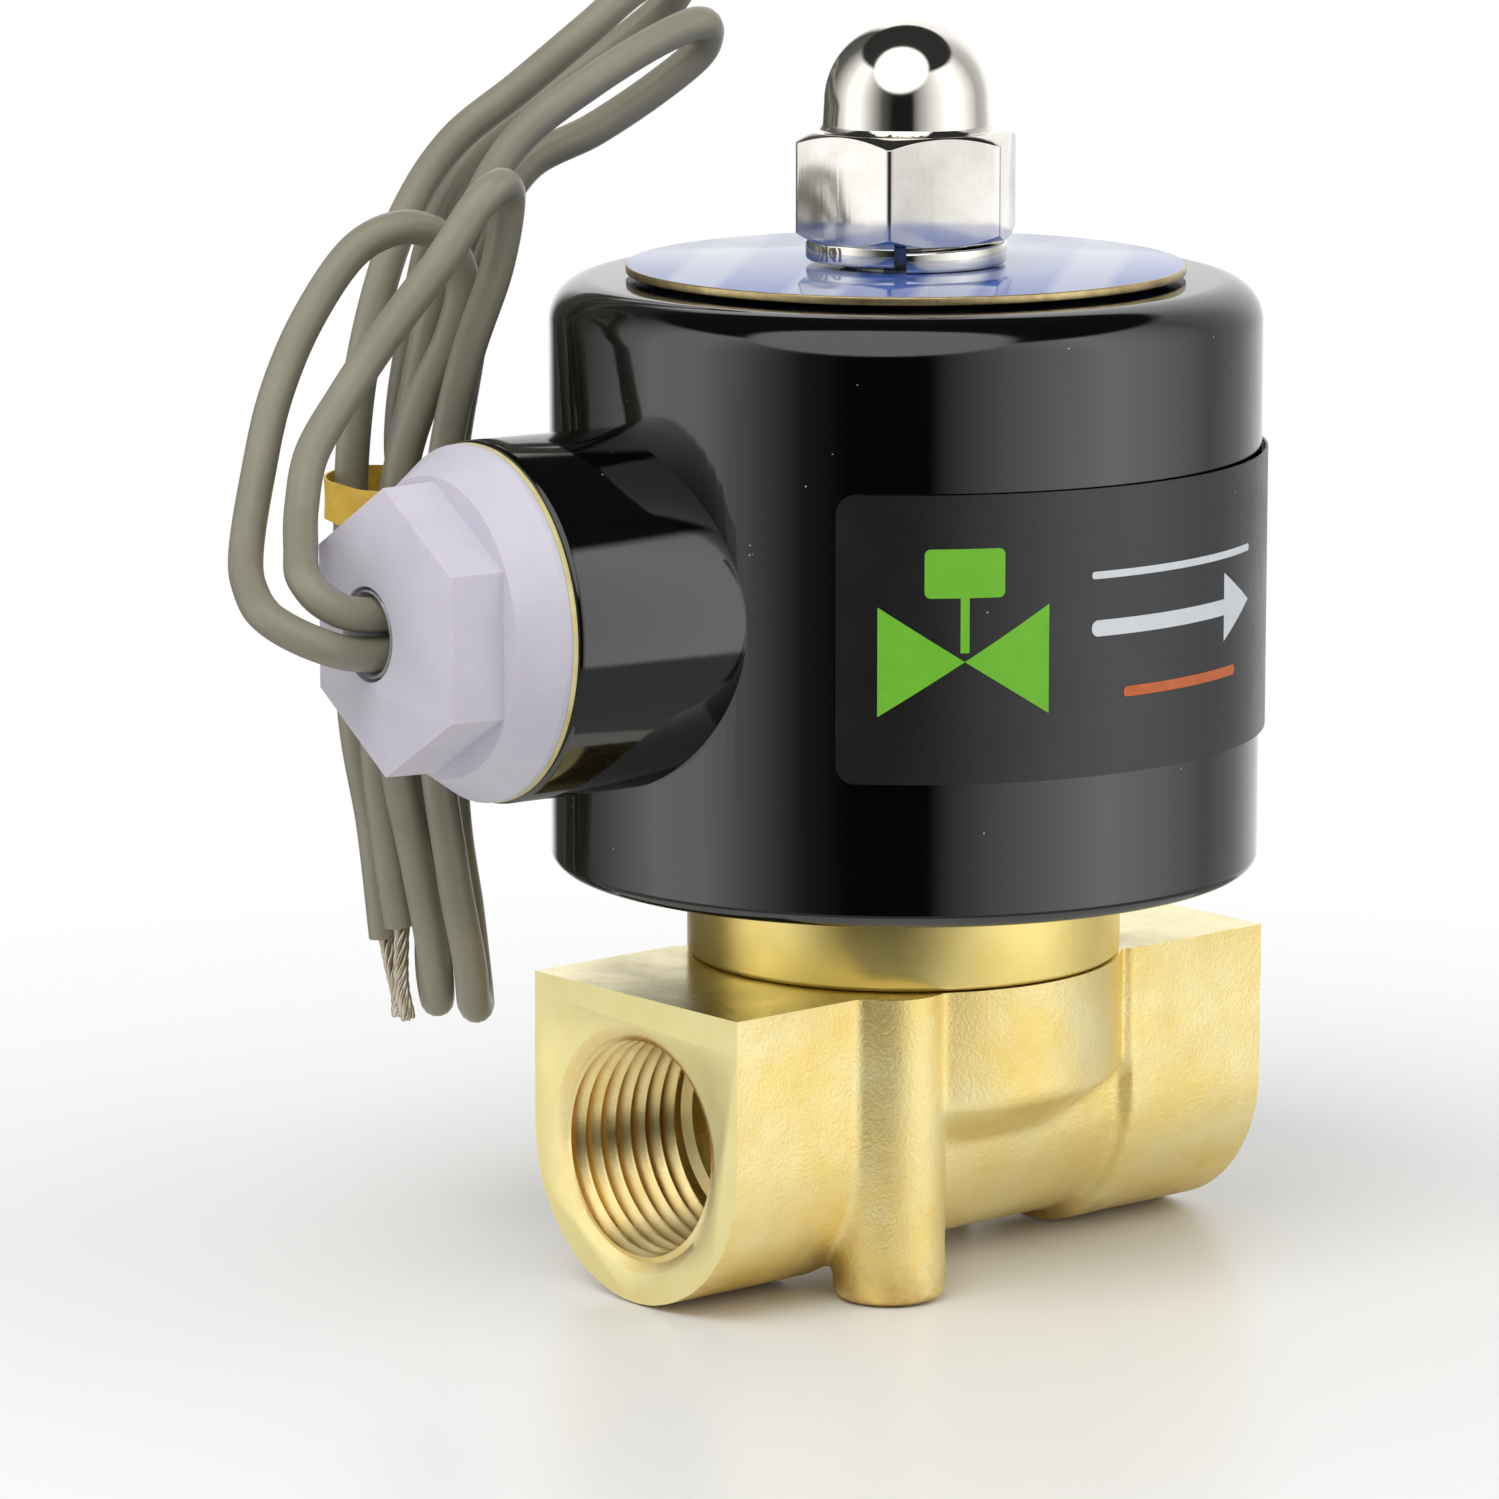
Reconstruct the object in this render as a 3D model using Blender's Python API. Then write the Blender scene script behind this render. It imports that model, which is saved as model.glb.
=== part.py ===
"""Direct-acting two-port solenoid valve with a round coil and flying leads.

Metres, +Z up, the floor at z = 0. The flow axis runs along X. The stem axis, which carries the
coil, the plunger and the cap nut, stands at x = STEM_X, y = 0. The origin is the middle of the
valve's footprint at the floor, without the leads.
"""

import math

import bmesh
import bpy
from mathutils import Matrix, Vector

MM = 0.001
GAP = 0.3 * MM  # clearance between pieces that rest on each other

# ---- driving dimensions -------------------------------------------------------------------
STEM_X = 9.1 * MM  # stem axis, from the middle of the footprint
COIL_TURN = math.radians(-6.8)  # the coil rests turned a little off the flow axis

# Brass body
BODY_LENGTH = 49.2 * MM
BLOCK_HALF_WIDTH = 10.8 * MM  # also the radius of the block's round underside
WAIST_HALF_WIDTH = 9.8 * MM
WAIST_HALF_LENGTH = 14.3 * MM
PORT_Z = 10.9 * MM
BODY_TOP = 21.7 * MM
BOSS_RADIUS = 15.2 * MM
BOSS_UNDERSIDE = 13.2 * MM
PILLAR = Vector((9.8 * MM, 9.6 * MM))  # mounting pillars stand at plus and minus this
PILLAR_RADIUS = 3.9 * MM
SCREW_HOLE_RADIUS = 1.65 * MM  # M4 tapping size
SCREW_HOLE_DEPTH = 6.0 * MM

# Ports, 3/8 inch pipe thread
PORT_CHAMFER_RADIUS = 8.6 * MM
PORT_BORE_RADIUS = 7.5 * MM
PORT_BORE_DEPTH = 11.5 * MM
PORT_RELIEF_RADIUS = 6.6 * MM
PORT_RELIEF_DEPTH = 14.0 * MM
INLET_CHANNEL_RADIUS = 3.8 * MM
INLET_CHANNEL_Z = 11.2 * MM  # runs into the side of the chamber
OUTLET_CHANNEL_RADIUS = 3.2 * MM
OUTLET_CHANNEL_Z = 9.4 * MM  # runs under the seat and meets the orifice

# Valve chamber inside the body
CHAMBER_RADIUS = 7.4 * MM
CHAMBER_FLOOR = 13.6 * MM
LEDGE_Z = 17.2 * MM
BONNET_BORE_RADIUS = 10.3 * MM
SEAT_TOP = 16.2 * MM
SEAT_RADIUS = 3.2 * MM
ORIFICE_RADIUS = 2.0 * MM

# Stem, from the guide tube's flange up to the cap nut
TUBE_OUTER = 6.7 * MM
TUBE_INNER = 6.2 * MM
TUBE_TOP = 62.0 * MM
TUBE_FLANGE_RADIUS = 9.4 * MM
TUBE_FLANGE_Z = 19.5 * MM
TUBE_FLANGE_THICKNESS = 1.2 * MM
O_RING_MEAN_RADIUS = 8.7 * MM
CORE_RADIUS = 5.9 * MM
CORE_BOTTOM = 44.8 * MM
CORE_CAP_TOP = 63.2 * MM  # the core's shoulder over the tube's end
SHADING_GROOVE = (3.3 * MM, 4.8 * MM)  # inner and outer radius
SHADING_GROOVE_DEPTH = 1.8 * MM
STUD_RADIUS = 4.0 * MM
STUD_TOP = 81.5 * MM
EDGE = 0.4 * MM  # broken edges of turned pieces

# Plunger and its spring
LIFT = 2.0 * MM  # stroke
PLUNGER_BOTTOM = 17.0 * MM
PLUNGER_TOP = CORE_BOTTOM - LIFT - GAP
SEAL_RADIUS = 3.9 * MM
SEAL_POCKET = 2.4 * MM  # depth of the pocket that holds the seal
SPRING_BORE_RADIUS = 3.2 * MM
SPRING_SEAT_Z = PLUNGER_TOP - 12.0 * MM
SPRING_WIRE_RADIUS = 0.4 * MM
SPRING_MEAN_RADIUS = 2.35 * MM
SPRING_TURNS = 7
SPRING_STEPS_PER_TURN = 10

# Bonnet ring
RING_BOTTOM = 22.0 * MM
RING_TOP = 27.8 * MM
RING_RADIUS = 15.2 * MM

# Coil
CAN_BOTTOM = 28.1 * MM
CAN_TOP = 69.2 * MM
CAN_RADIUS = 24.75 * MM
CAN_WALL = 1.2 * MM
CAN_TOP_FILLET = 3.0 * MM
CAN_LIP = 1.0 * MM  # thickness and rounding of the can's lower edge
CAN_LIP_RADIUS = 22.0 * MM  # which turns in as far as this
CAN_HOLE_RADIUS = 7.4 * MM  # clears the guide tube
BOTTOM_PLATE_RADIUS = 23.2 * MM
BOTTOM_PLATE_THICKNESS = 1.4 * MM
FLUX_SLEEVE = (7.1 * MM, 8.1 * MM)  # inner and outer radius
FLUX_SLEEVE_LENGTH = 9.0 * MM
BOBBIN_BORE_RADIUS = 8.4 * MM
BOBBIN_CORE_RADIUS = 9.4 * MM
BOBBIN_FLANGE_RADIUS = 21.6 * MM
BOBBIN_FLANGE_THICKNESS = 1.4 * MM
WINDING_RADIUS = 20.2 * MM
TAPE = (20.5 * MM, 21.0 * MM)  # inner and outer radius
BOSS_AXIS_Z = 48.1 * MM
BOSS_TUBE_RADIUS = 12.3 * MM
BOSS_TUBE_INNER = 10.9 * MM
BOSS_TUBE_END = 34.2 * MM
FLANGE_BACK = 35.3 * MM
HEX_BASE = 38.3 * MM
HEX_FACE = 42.3 * MM
PLUG_FLANGE_RADIUS = 12.1 * MM
HEX_ACROSS_FLATS = 17.2 * MM
PLUG_SHANK_RADIUS = 10.5 * MM
PLUG_SHANK_END = 27.2 * MM
WIRE_HOLE_RADIUS = 3.25 * MM
WIRE_HOLE_Y = 2.2 * MM  # the moulded hole sits off the plug's middle
WIRE_HOLE_Z = 47.7 * MM
LEAD_SPACING = 2.7 * MM  # the leads lie one above the other in the hole
SPLICE = (22.0 * MM, 27.0 * MM)  # from and to, out along the boss
LEAD_SLEEVE = (2.75 * MM, 3.0 * MM)  # inner and outer radius
LEAD_SLEEVE_LENGTH = 5.8 * MM

# Top plate and cap nut
PLATE_RADIUS = 19.4 * MM
PLATE_BOTTOM = 69.5 * MM
PLATE_TOP = 70.1 * MM
WASHER_BOTTOM = 70.4 * MM
WASHER_TOP = 71.9 * MM
WASHER_RADIUS = 7.0 * MM
WASHER_SPLIT_TURN = math.radians(225.0)
WASHER_SPLIT_WIDTH = 1.0 * MM
NUT_BOTTOM = 72.2 * MM
NUT_HEX_TOP = 79.3 * MM
NUT_TOP = 87.0 * MM
NUT_ACROSS_FLATS = 14.2 * MM
NUT_FIRST_CORNER = 40.0  # degrees from +X, as the tightened nut happens to stop
NUT_CHAMFER = 0.75 * MM
NUT_DOME_RADIUS = 5.75 * MM

# Side label
LABEL_INNER = 25.0 * MM
LABEL_OUTER = 25.3 * MM
LABEL_BOTTOM = 38.1 * MM
LABEL_TOP = 57.6 * MM
LABEL_START = math.radians(224.5)  # in the coil's own frame, measured from +X
LABEL_ARC = math.radians(118.0)

# Leads
LEAD_RADIUS = 1.2 * MM
STRAND_RADIUS = 0.6 * MM

# Each lead's route in millimetres, in the coil's own frame: out of the plug, up, then folded
# four times into a hank behind the boss.
LEAD_1_ROUTE = (
    (-27.3, 2.2, 46.35), (-35, 2.2, 46.35), (-42.3, 2.2, 46.35), (-46.2, 2, 47.4), (-48.6, 4.2, 49),
    (-48.2, 7.5, 50.5), (-46.5, 11, 52.5), (-43.5, 14.5, 57), (-41, 16.3, 62), (-38, 17, 67),
    (-34.5, 16.6, 71.5), (-31, 16, 73), (-27.8, 16, 72), (-26, 16.2, 69), (-26.5, 17, 65),
    (-28.3, 18, 60.5), (-30, 18.2, 55), (-31, 17.8, 46), (-31, 17.8, 37), (-29, 18, 28),
    (-27.5, 18.2, 21), (-26.3, 19.8, 17.5), (-25.3, 22.2, 19.5), (-25, 23, 27), (-26, 24, 39),
    (-26, 24, 51), (-25.8, 25, 57), (-24.3, 26, 63), (-21.3, 27.5, 71), (-17, 29, 76),
    (-11, 28.5, 80), (-5.5, 27.6, 83.5), (-2.3, 26, 86.5), (-3.2, 23.8, 88.3), (-6.5, 23.5, 88),
    (-11, 23.6, 85), (-16, 24.5, 81.2), (-21, 25.5, 77.5), (-25, 25.2, 72.8), (-28, 24.4, 67),
    (-29.8, 24.2, 60), (-30, 25, 51), (-29.5, 25.6, 38), (-28.6, 24.6, 29.5), (-28, 24, 21.5),
)
LEAD_2_ROUTE = (
    (-27.3, 2.2, 49.05), (-35, 2.2, 49.05), (-42.3, 2.2, 49.05), (-45.2, 2.4, 50), (-46, 4.2, 51.6),
    (-44.8, 6.6, 53.3), (-43.3, 9, 55.5), (-41.4, 10.8, 58.8), (-38.5, 11.2, 62.5), (-35.3, 11, 66.5),
    (-31.5, 10.2, 71.2), (-28.8, 9.6, 75), (-26.6, 10, 76.2), (-25.4, 11.2, 74.6), (-25.8, 12.2, 70),
    (-27.6, 13.2, 64), (-28.8, 14.2, 57), (-29.4, 14.8, 48), (-29.5, 14.8, 38), (-28.2, 14.4, 27.5),
    (-27, 14.4, 21.5), (-26, 15.4, 18.2), (-24.7, 17, 17.6), (-23.9, 18.6, 19.2), (-24.2, 19.1, 24),
    (-25, 19.5, 31), (-25.5, 19.5, 43), (-25, 19.7, 54.5), (-23.4, 20, 62.5), (-21, 20.5, 71.5),
    (-17.8, 20.9, 76), (-12.5, 20.4, 78.3), (-7.5, 20, 81), (-4.4, 19, 83.6), (-5.3, 17.4, 85.6),
    (-9, 17, 84.8), (-15, 17, 82), (-20.5, 17.5, 78.4), (-23.8, 18, 73.6), (-25.8, 20, 67),
    (-27, 21.4, 59.5), (-28.8, 21.4, 52), (-30.2, 21, 44), (-30.4, 21, 36), (-29.4, 21, 28),
    (-28.6, 20.9, 23),
)
STRAND_1_ROUTE = ((-28, 24, 21.1), (-27.7, 23.7, 19.4), (-27.3, 23.5, 17.4), (-27.3, 23.4, 15.8))
STRAND_2_ROUTE = ((-28.5, 20.9, 22.6), (-28.8, 20.6, 20.4), (-28.8, 20.5, 18.4), (-28.4, 20.3, 16.3))

# The tie round the hank, an oval band in the coil's own frame
TIE_CENTRE = Vector((-27.85 * MM, 19.9 * MM))
TIE_HALF_AXES = Vector((5.5 * MM, 7.3 * MM))
TIE_BOTTOM = 52.0 * MM
TIE_HEIGHT = 2.8 * MM
TIE_THICKNESS = 0.5 * MM


# ---- scene and materials ------------------------------------------------------------------
def clear_scene():
    for obj in list(bpy.data.objects):
        bpy.data.objects.remove(obj, do_unlink=True)


def material(name, colour, metallic=0.0, roughness=0.4):
    """A Principled material, made once for each name."""
    made = bpy.data.materials.get(name) or bpy.data.materials.new(name)
    made.use_nodes = True
    shader = made.node_tree.nodes["Principled BSDF"]
    shader.inputs["Base Color"].default_value = (*colour, 1.0)
    shader.inputs["Metallic"].default_value = metallic
    shader.inputs["Roughness"].default_value = roughness
    return made


def empty(name, location, turn=0.0, parent=None):
    axis = bpy.data.objects.new(name, None)
    axis.location = location
    axis.rotation_euler.z = turn
    axis.parent = parent
    bpy.context.scene.collection.objects.link(axis)
    return axis


def place(name, data, look, parent, smooth_angle=35.0):
    """Links a mesh or curve as one named piece under its parent."""
    obj = bpy.data.objects.new(name, data)
    obj.parent = parent
    bpy.context.scene.collection.objects.link(obj)
    if look:
        data.materials.append(look)
    if isinstance(data, bpy.types.Mesh):
        data.shade_smooth()
        data.set_sharp_from_angle(angle=math.radians(smooth_angle))
    return obj


# ---- mesh makers --------------------------------------------------------------------------
def arc(cx, cz, radius, start_deg, end_deg, steps):
    """Points along an arc, both ends included."""
    points = []
    for i in range(steps + 1):
        angle = math.radians(start_deg + (end_deg - start_deg) * i / steps)
        points.append((cx + radius * math.cos(angle), cz + radius * math.sin(angle)))
    return points


def finished(bm, name):
    bmesh.ops.remove_doubles(bm, verts=bm.verts, dist=1e-7)
    bmesh.ops.recalc_face_normals(bm, faces=bm.faces)
    mesh = bpy.data.meshes.new(name)
    bm.to_mesh(mesh)
    bm.free()
    return mesh


def turned(name, profile, segments=28):
    """A solid of revolution about Z from (radius, z) points.

    A profile whose ends lie on the axis closes there. Any other profile closes on itself, as a ring.
    """
    bm = bmesh.new()
    verts = [bm.verts.new((r, 0.0, z)) for r, z in profile]
    edges = [bm.edges.new(pair) for pair in zip(verts, verts[1:])]
    if profile[0][0] > 0.0:
        edges.append(bm.edges.new((verts[-1], verts[0])))
    bmesh.ops.spin(bm, geom=verts + edges, cent=(0, 0, 0), axis=(0, 0, 1), dvec=(0, 0, 0),
                   angle=math.tau, steps=segments, use_merge=True, use_duplicate=False)
    return finished(bm, name)


def ring(name, inner, outer, bottom, top, segments=28, chamfer=0.0):
    """A plain ring, with its outer edges chamfered if asked."""
    profile = [(inner, bottom), (outer - chamfer, bottom)]
    if chamfer:
        profile.append((outer, bottom + chamfer))
        profile.append((outer, top - chamfer))
    profile += [(outer - chamfer, top), (inner, top)]
    return turned(name, profile, segments)


def cylinder(name, radius, bottom, top, segments=28):
    return turned(name, [(0.0, bottom), (radius, bottom), (radius, top), (0.0, top)], segments)


def prism(name, outline, low, high):
    """A solid extruded along Z from a flat (x, y) outline."""
    bm = bmesh.new()
    face = bm.faces.new([bm.verts.new((x, y, low)) for x, y in outline])
    made = bmesh.ops.extrude_face_region(bm, geom=[face])
    moved = [item for item in made["geom"] if isinstance(item, bmesh.types.BMVert)]
    bmesh.ops.translate(bm, verts=moved, vec=(0, 0, high - low))
    return finished(bm, name)


def hexagon(across_flats, first_deg):
    """A hexagon's corners, the first one at this angle."""
    radius = across_flats / math.sqrt(3.0)
    return arc(0.0, 0.0, radius, first_deg, first_deg + 300.0, 5)


def smooth_path(route, length_per_point, turn_per_point_deg):
    """Points along a smooth curve through a route: Catmull-Rom, closer together where it bends."""
    points = [Vector(p) * MM for p in route]
    points = [points[0] * 2 - points[1]] + points + [points[-1] * 2 - points[-2]]
    fine = []
    for a, b, c, d in zip(points, points[1:], points[2:], points[3:]):
        for i in range(24):
            t = i / 24
            fine.append(0.5 * (2 * b + (c - a) * t + (2 * a - 5 * b + 4 * c - d) * t * t
                               + (3 * b - a - 3 * c + d) * t ** 3))
    fine.append(points[-2])
    kept = [fine[0]]
    due = 0.0
    for before, here, after in zip(fine, fine[1:], fine[2:]):
        turn = math.degrees((here - before).angle(after - here, 0.0))
        due += (here - before).length / length_per_point + turn / turn_per_point_deg
        if due >= 1.0:
            kept.append(here)
            due -= 1.0
    if (kept[-1] - fine[-1]).length < length_per_point * 0.2:
        kept.pop()
    kept.append(fine[-1])
    return kept


def tube_along(name, points, radius, look, parent, sides=2):
    """A round cord: a curve with a bevel and closed ends."""
    curve = bpy.data.curves.new(name, "CURVE")
    curve.dimensions = "3D"
    curve.bevel_depth = radius
    curve.bevel_resolution = sides
    curve.use_fill_caps = True
    spline = curve.splines.new("POLY")
    spline.points.add(len(points) - 1)
    for target, point in zip(spline.points, points):
        target.co = (*point, 1.0)
    return place(name, curve, look, parent)


def cutter(name, mesh, parent, matrix=None):
    """A helper solid that the build leaves out."""
    if matrix:
        mesh.transform(matrix)
    obj = place(name, mesh, None, parent)
    obj.hide_render = True
    obj.display_type = "WIRE"
    return obj


def combine(target, others, operation):
    for other in others:
        modifier = target.modifiers.new(f"{operation.lower()} {other.name}", "BOOLEAN")
        modifier.operation = operation
        modifier.solver = "EXACT"
        modifier.object = other


ALONG_X = Matrix.Rotation(math.radians(90), 4, "Y")  # turns +Z to +X
ALONG_MINUS_X = Matrix.Rotation(math.radians(-90), 4, "Y")  # turns +Z to -X, and +X to +Z


# ---- brass body ---------------------------------------------------------------------------
def block_mesh(name, half_width, x_low, x_high, top):
    """A U-shaped bar along X: flat top and sides, round underside centred on the flow axis."""
    outline = [(half_width, top)] + arc(0.0, PORT_Z, half_width, 0, -180, 12) + [(-half_width, top)]
    mesh = prism(name, outline, x_low, x_high)
    # The outline's (x, y) becomes (y, z), and the extrusion runs along X.
    mesh.transform(Matrix(((0, 0, 1, 0), (1, 0, 0, 0), (0, 1, 0, 0), (0, 0, 0, 1))))
    return mesh


def port_cutter(side, stem):
    """The chamfer, threaded bore and relief of one port, cut inwards from its end face."""
    end = BODY_LENGTH / 2
    margin = 2.0 * MM
    slope = PORT_CHAMFER_RADIUS - PORT_BORE_RADIUS
    profile = [
        (0.0, end - PORT_RELIEF_DEPTH),
        (PORT_RELIEF_RADIUS, end - PORT_RELIEF_DEPTH),
        (PORT_RELIEF_RADIUS, end - PORT_BORE_DEPTH),
        (PORT_BORE_RADIUS, end - PORT_BORE_DEPTH),
        (PORT_BORE_RADIUS, end - slope),
        (PORT_CHAMFER_RADIUS + margin, end + margin),
        (0.0, end + margin),
    ]
    turn = ALONG_X if side > 0 else ALONG_MINUS_X
    name = "cut_outlet_port" if side > 0 else "cut_inlet_port"
    return cutter(name, turned(name, profile, 32), stem, Matrix.Translation((0, 0, PORT_Z)) @ turn)


def channel_cutter(name, radius, z, x_low, x_high, stem):
    mesh = cylinder(name, radius, x_low, x_high, 18)
    return cutter(name, mesh, stem, Matrix.Translation((0, 0, z)) @ ALONG_X)


def pillar_mesh(name, x, y):
    """A mounting pillar, its foot rounded."""
    profile = [(0.0, 0.0)] + arc(PILLAR_RADIUS - 0.8 * MM, 0.8 * MM, 0.8 * MM, -90, 0, 2)
    profile += [(PILLAR_RADIUS, BODY_TOP), (0.0, BODY_TOP)]
    mesh = turned(name, profile, 24)
    mesh.transform(Matrix.Translation((x, y, 0)))
    return mesh


def make_body(stem):
    brass = material("forged brass", (0.80, 0.64, 0.30), 1.0, 0.42)
    half = BODY_LENGTH / 2
    body = place("valve_body", block_mesh("valve_body", WAIST_HALF_WIDTH, -half + 1 * MM,
                                          half - 1 * MM, BODY_TOP - 0.6 * MM), brass, stem)
    joined = []
    for side, name in ((-1, "add_inlet_block"), (1, "add_outlet_block")):
        ends = sorted((side * WAIST_HALF_LENGTH, side * half))
        joined.append(cutter(name, block_mesh(name, BLOCK_HALF_WIDTH, *ends, BODY_TOP), stem))
    boss_profile = [
        (0.0, BOSS_UNDERSIDE - 2.6 * MM),
        (BOSS_RADIUS - 4.2 * MM, BOSS_UNDERSIDE - 2.6 * MM),
        (BOSS_RADIUS - 0.5 * MM, BOSS_UNDERSIDE),
        (BOSS_RADIUS, BOSS_UNDERSIDE + 0.5 * MM),
        (BOSS_RADIUS, BODY_TOP),
        (0.0, BODY_TOP),
    ]
    joined.append(cutter("add_round_boss", turned("add_round_boss", boss_profile, 48), stem))
    for side, name in ((-1, "add_near_pillar"), (1, "add_far_pillar")):
        spot = PILLAR * side
        joined.append(cutter(name, pillar_mesh(name, spot.x, spot.y), stem))
    combine(body, joined, "UNION")

    cuts = [port_cutter(-1, stem), port_cutter(1, stem)]
    reach = half - PORT_RELIEF_DEPTH + 1.0 * MM
    cuts.append(channel_cutter("cut_inlet_channel", INLET_CHANNEL_RADIUS, INLET_CHANNEL_Z, -reach,
                               -5 * MM, stem))
    cuts.append(channel_cutter("cut_outlet_channel", OUTLET_CHANNEL_RADIUS, OUTLET_CHANNEL_Z,
                               -1.5 * MM, reach, stem))
    chamber = [
        (0.0, SEAT_TOP),
        (SEAT_RADIUS, SEAT_TOP),
        (SEAT_RADIUS + 1.0 * MM, CHAMBER_FLOOR),
        (CHAMBER_RADIUS, CHAMBER_FLOOR),
        (CHAMBER_RADIUS, LEDGE_Z),
        (BONNET_BORE_RADIUS, LEDGE_Z),
        (BONNET_BORE_RADIUS, BODY_TOP + 2 * MM),
        (0.0, BODY_TOP + 2 * MM),
    ]
    cuts.append(cutter("cut_chamber", turned("cut_chamber", chamber, 28), stem))
    orifice = cylinder("cut_orifice", ORIFICE_RADIUS, OUTLET_CHANNEL_Z, SEAT_TOP + 1 * MM, 16)
    cuts.append(cutter("cut_orifice", orifice, stem))
    for side, name in ((-1, "cut_near_screw_hole"), (1, "cut_far_screw_hole")):
        hole = cylinder(name, SCREW_HOLE_RADIUS, -1 * MM, SCREW_HOLE_DEPTH, 14)
        spot = PILLAR * side
        cuts.append(cutter(name, hole, stem, Matrix.Translation((spot.x, spot.y, 0))))
    combine(body, cuts, "DIFFERENCE")


# ---- stem: everything that stays with the body --------------------------------------------
def make_bonnet(stem):
    brass = material("turned brass", (0.86, 0.70, 0.34), 1.0, 0.24)
    spigot = BONNET_BORE_RADIUS - 0.4 * MM
    bore = TUBE_OUTER + GAP
    flange_top = TUBE_FLANGE_Z + TUBE_FLANGE_THICKNESS
    profile = [
        (bore, flange_top + GAP),
        (spigot, flange_top + GAP),
        (spigot, RING_BOTTOM),
        (RING_RADIUS - 0.3 * MM, RING_BOTTOM),
        (RING_RADIUS, RING_BOTTOM + 0.3 * MM),
        (RING_RADIUS, RING_TOP - 0.5 * MM),
        (RING_RADIUS - 0.5 * MM, RING_TOP),
        (bore, RING_TOP),
    ]
    place("bonnet_ring", turned("bonnet_ring", profile, 48), brass, stem)

    seal = material("nitrile rubber", (0.02, 0.02, 0.02), 0.0, 0.6)
    section = (TUBE_FLANGE_Z - LEDGE_Z) / 2 - GAP
    middle = (TUBE_FLANGE_Z + LEDGE_Z) / 2
    around = arc(O_RING_MEAN_RADIUS, middle, section, 0, 315, 7)
    place("bonnet_o_ring", turned("bonnet_o_ring", around, 28), seal, stem)


def make_guide_tube(stem):
    steel = material("stainless steel", (0.62, 0.62, 0.62), 1.0, 0.3)
    top = TUBE_FLANGE_Z + TUBE_FLANGE_THICKNESS
    profile = [
        (TUBE_INNER, TUBE_FLANGE_Z),
        (TUBE_FLANGE_RADIUS, TUBE_FLANGE_Z),
        (TUBE_FLANGE_RADIUS, top),
        (TUBE_OUTER, top),
        (TUBE_OUTER, TUBE_TOP),
        (TUBE_INNER, TUBE_TOP),
    ]
    place("guide_tube", turned("guide_tube", profile), steel, stem)


def make_fixed_core(stem):
    """The pole piece that closes the tube, with the stud that holds the coil."""
    steel = material("stainless steel", (0.62, 0.62, 0.62), 1.0, 0.3)
    groove_inner, groove_outer = SHADING_GROOVE
    groove_top = CORE_BOTTOM + SHADING_GROOVE_DEPTH
    profile = [
        (0.0, CORE_BOTTOM),
        (groove_inner, CORE_BOTTOM),
        (groove_inner, groove_top),
        (groove_outer, groove_top),
        (groove_outer, CORE_BOTTOM),
        (CORE_RADIUS, CORE_BOTTOM),
        (CORE_RADIUS, TUBE_TOP + GAP),
        (TUBE_OUTER, TUBE_TOP + GAP),
        (TUBE_OUTER, CORE_CAP_TOP),
        (STUD_RADIUS, CORE_CAP_TOP + TUBE_OUTER - STUD_RADIUS),
        (STUD_RADIUS, STUD_TOP - 2 * EDGE),
        (STUD_RADIUS - 2 * EDGE, STUD_TOP),
        (0.0, STUD_TOP),
    ]
    place("fixed_core", turned("fixed_core", profile), steel, stem)
    copper = material("copper", (0.72, 0.38, 0.24), 1.0, 0.3)
    shading = ring("shading_ring", groove_inner + GAP, groove_outer - GAP, CORE_BOTTOM + 0.1 * MM,
                   groove_top - GAP, 24)
    place("shading_ring", shading, copper, stem)


def make_cap_nut(stem):
    nickel = material("nickel plate", (0.74, 0.72, 0.68), 1.0, 0.12)
    corner = NUT_ACROSS_FLATS / math.sqrt(3.0)
    bar = prism("cap_nut", hexagon(NUT_ACROSS_FLATS, NUT_FIRST_CORNER), NUT_BOTTOM, NUT_HEX_TOP + EDGE)
    body = place("cap_nut", bar, nickel, stem)
    # The hexagon is turned down to a cone at both ends, as bar stock is chamfered.
    flat = NUT_ACROSS_FLATS / 2
    chamfer = turned("keep_nut_chamfer", [
        (0.0, NUT_BOTTOM - 0.01 * MM),
        (flat + 0.1 * MM, NUT_BOTTOM - 0.01 * MM),
        (corner + 0.2 * MM, NUT_BOTTOM + NUT_CHAMFER),
        (corner + 0.2 * MM, NUT_HEX_TOP - NUT_CHAMFER),
        (flat - 0.2 * MM, NUT_HEX_TOP + 0.2 * MM),
        (0.0, NUT_HEX_TOP + 0.2 * MM),
    ], 36)
    dome_centre = NUT_TOP - NUT_DOME_RADIUS
    dome = [(0.0, NUT_HEX_TOP - 1.0 * MM), (NUT_DOME_RADIUS, NUT_HEX_TOP - 1.0 * MM)]
    dome += arc(0.0, dome_centre, NUT_DOME_RADIUS, 0, 90, 6)[:-1] + [(0.0, NUT_TOP)]
    bore = [
        (0.0, NUT_BOTTOM - 1 * MM),
        (STUD_RADIUS + GAP, NUT_BOTTOM - 1 * MM),
        (STUD_RADIUS + GAP, STUD_TOP + 0.6 * MM),
        (0.0, STUD_TOP + 1.6 * MM),
    ]
    combine(body, [cutter("keep_nut_chamfer", chamfer, stem)], "INTERSECT")
    combine(body, [cutter("add_nut_dome", turned("add_nut_dome", dome, 32), stem)], "UNION")
    combine(body, [cutter("cut_nut_bore", turned("cut_nut_bore", bore, 20), stem)], "DIFFERENCE")



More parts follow.
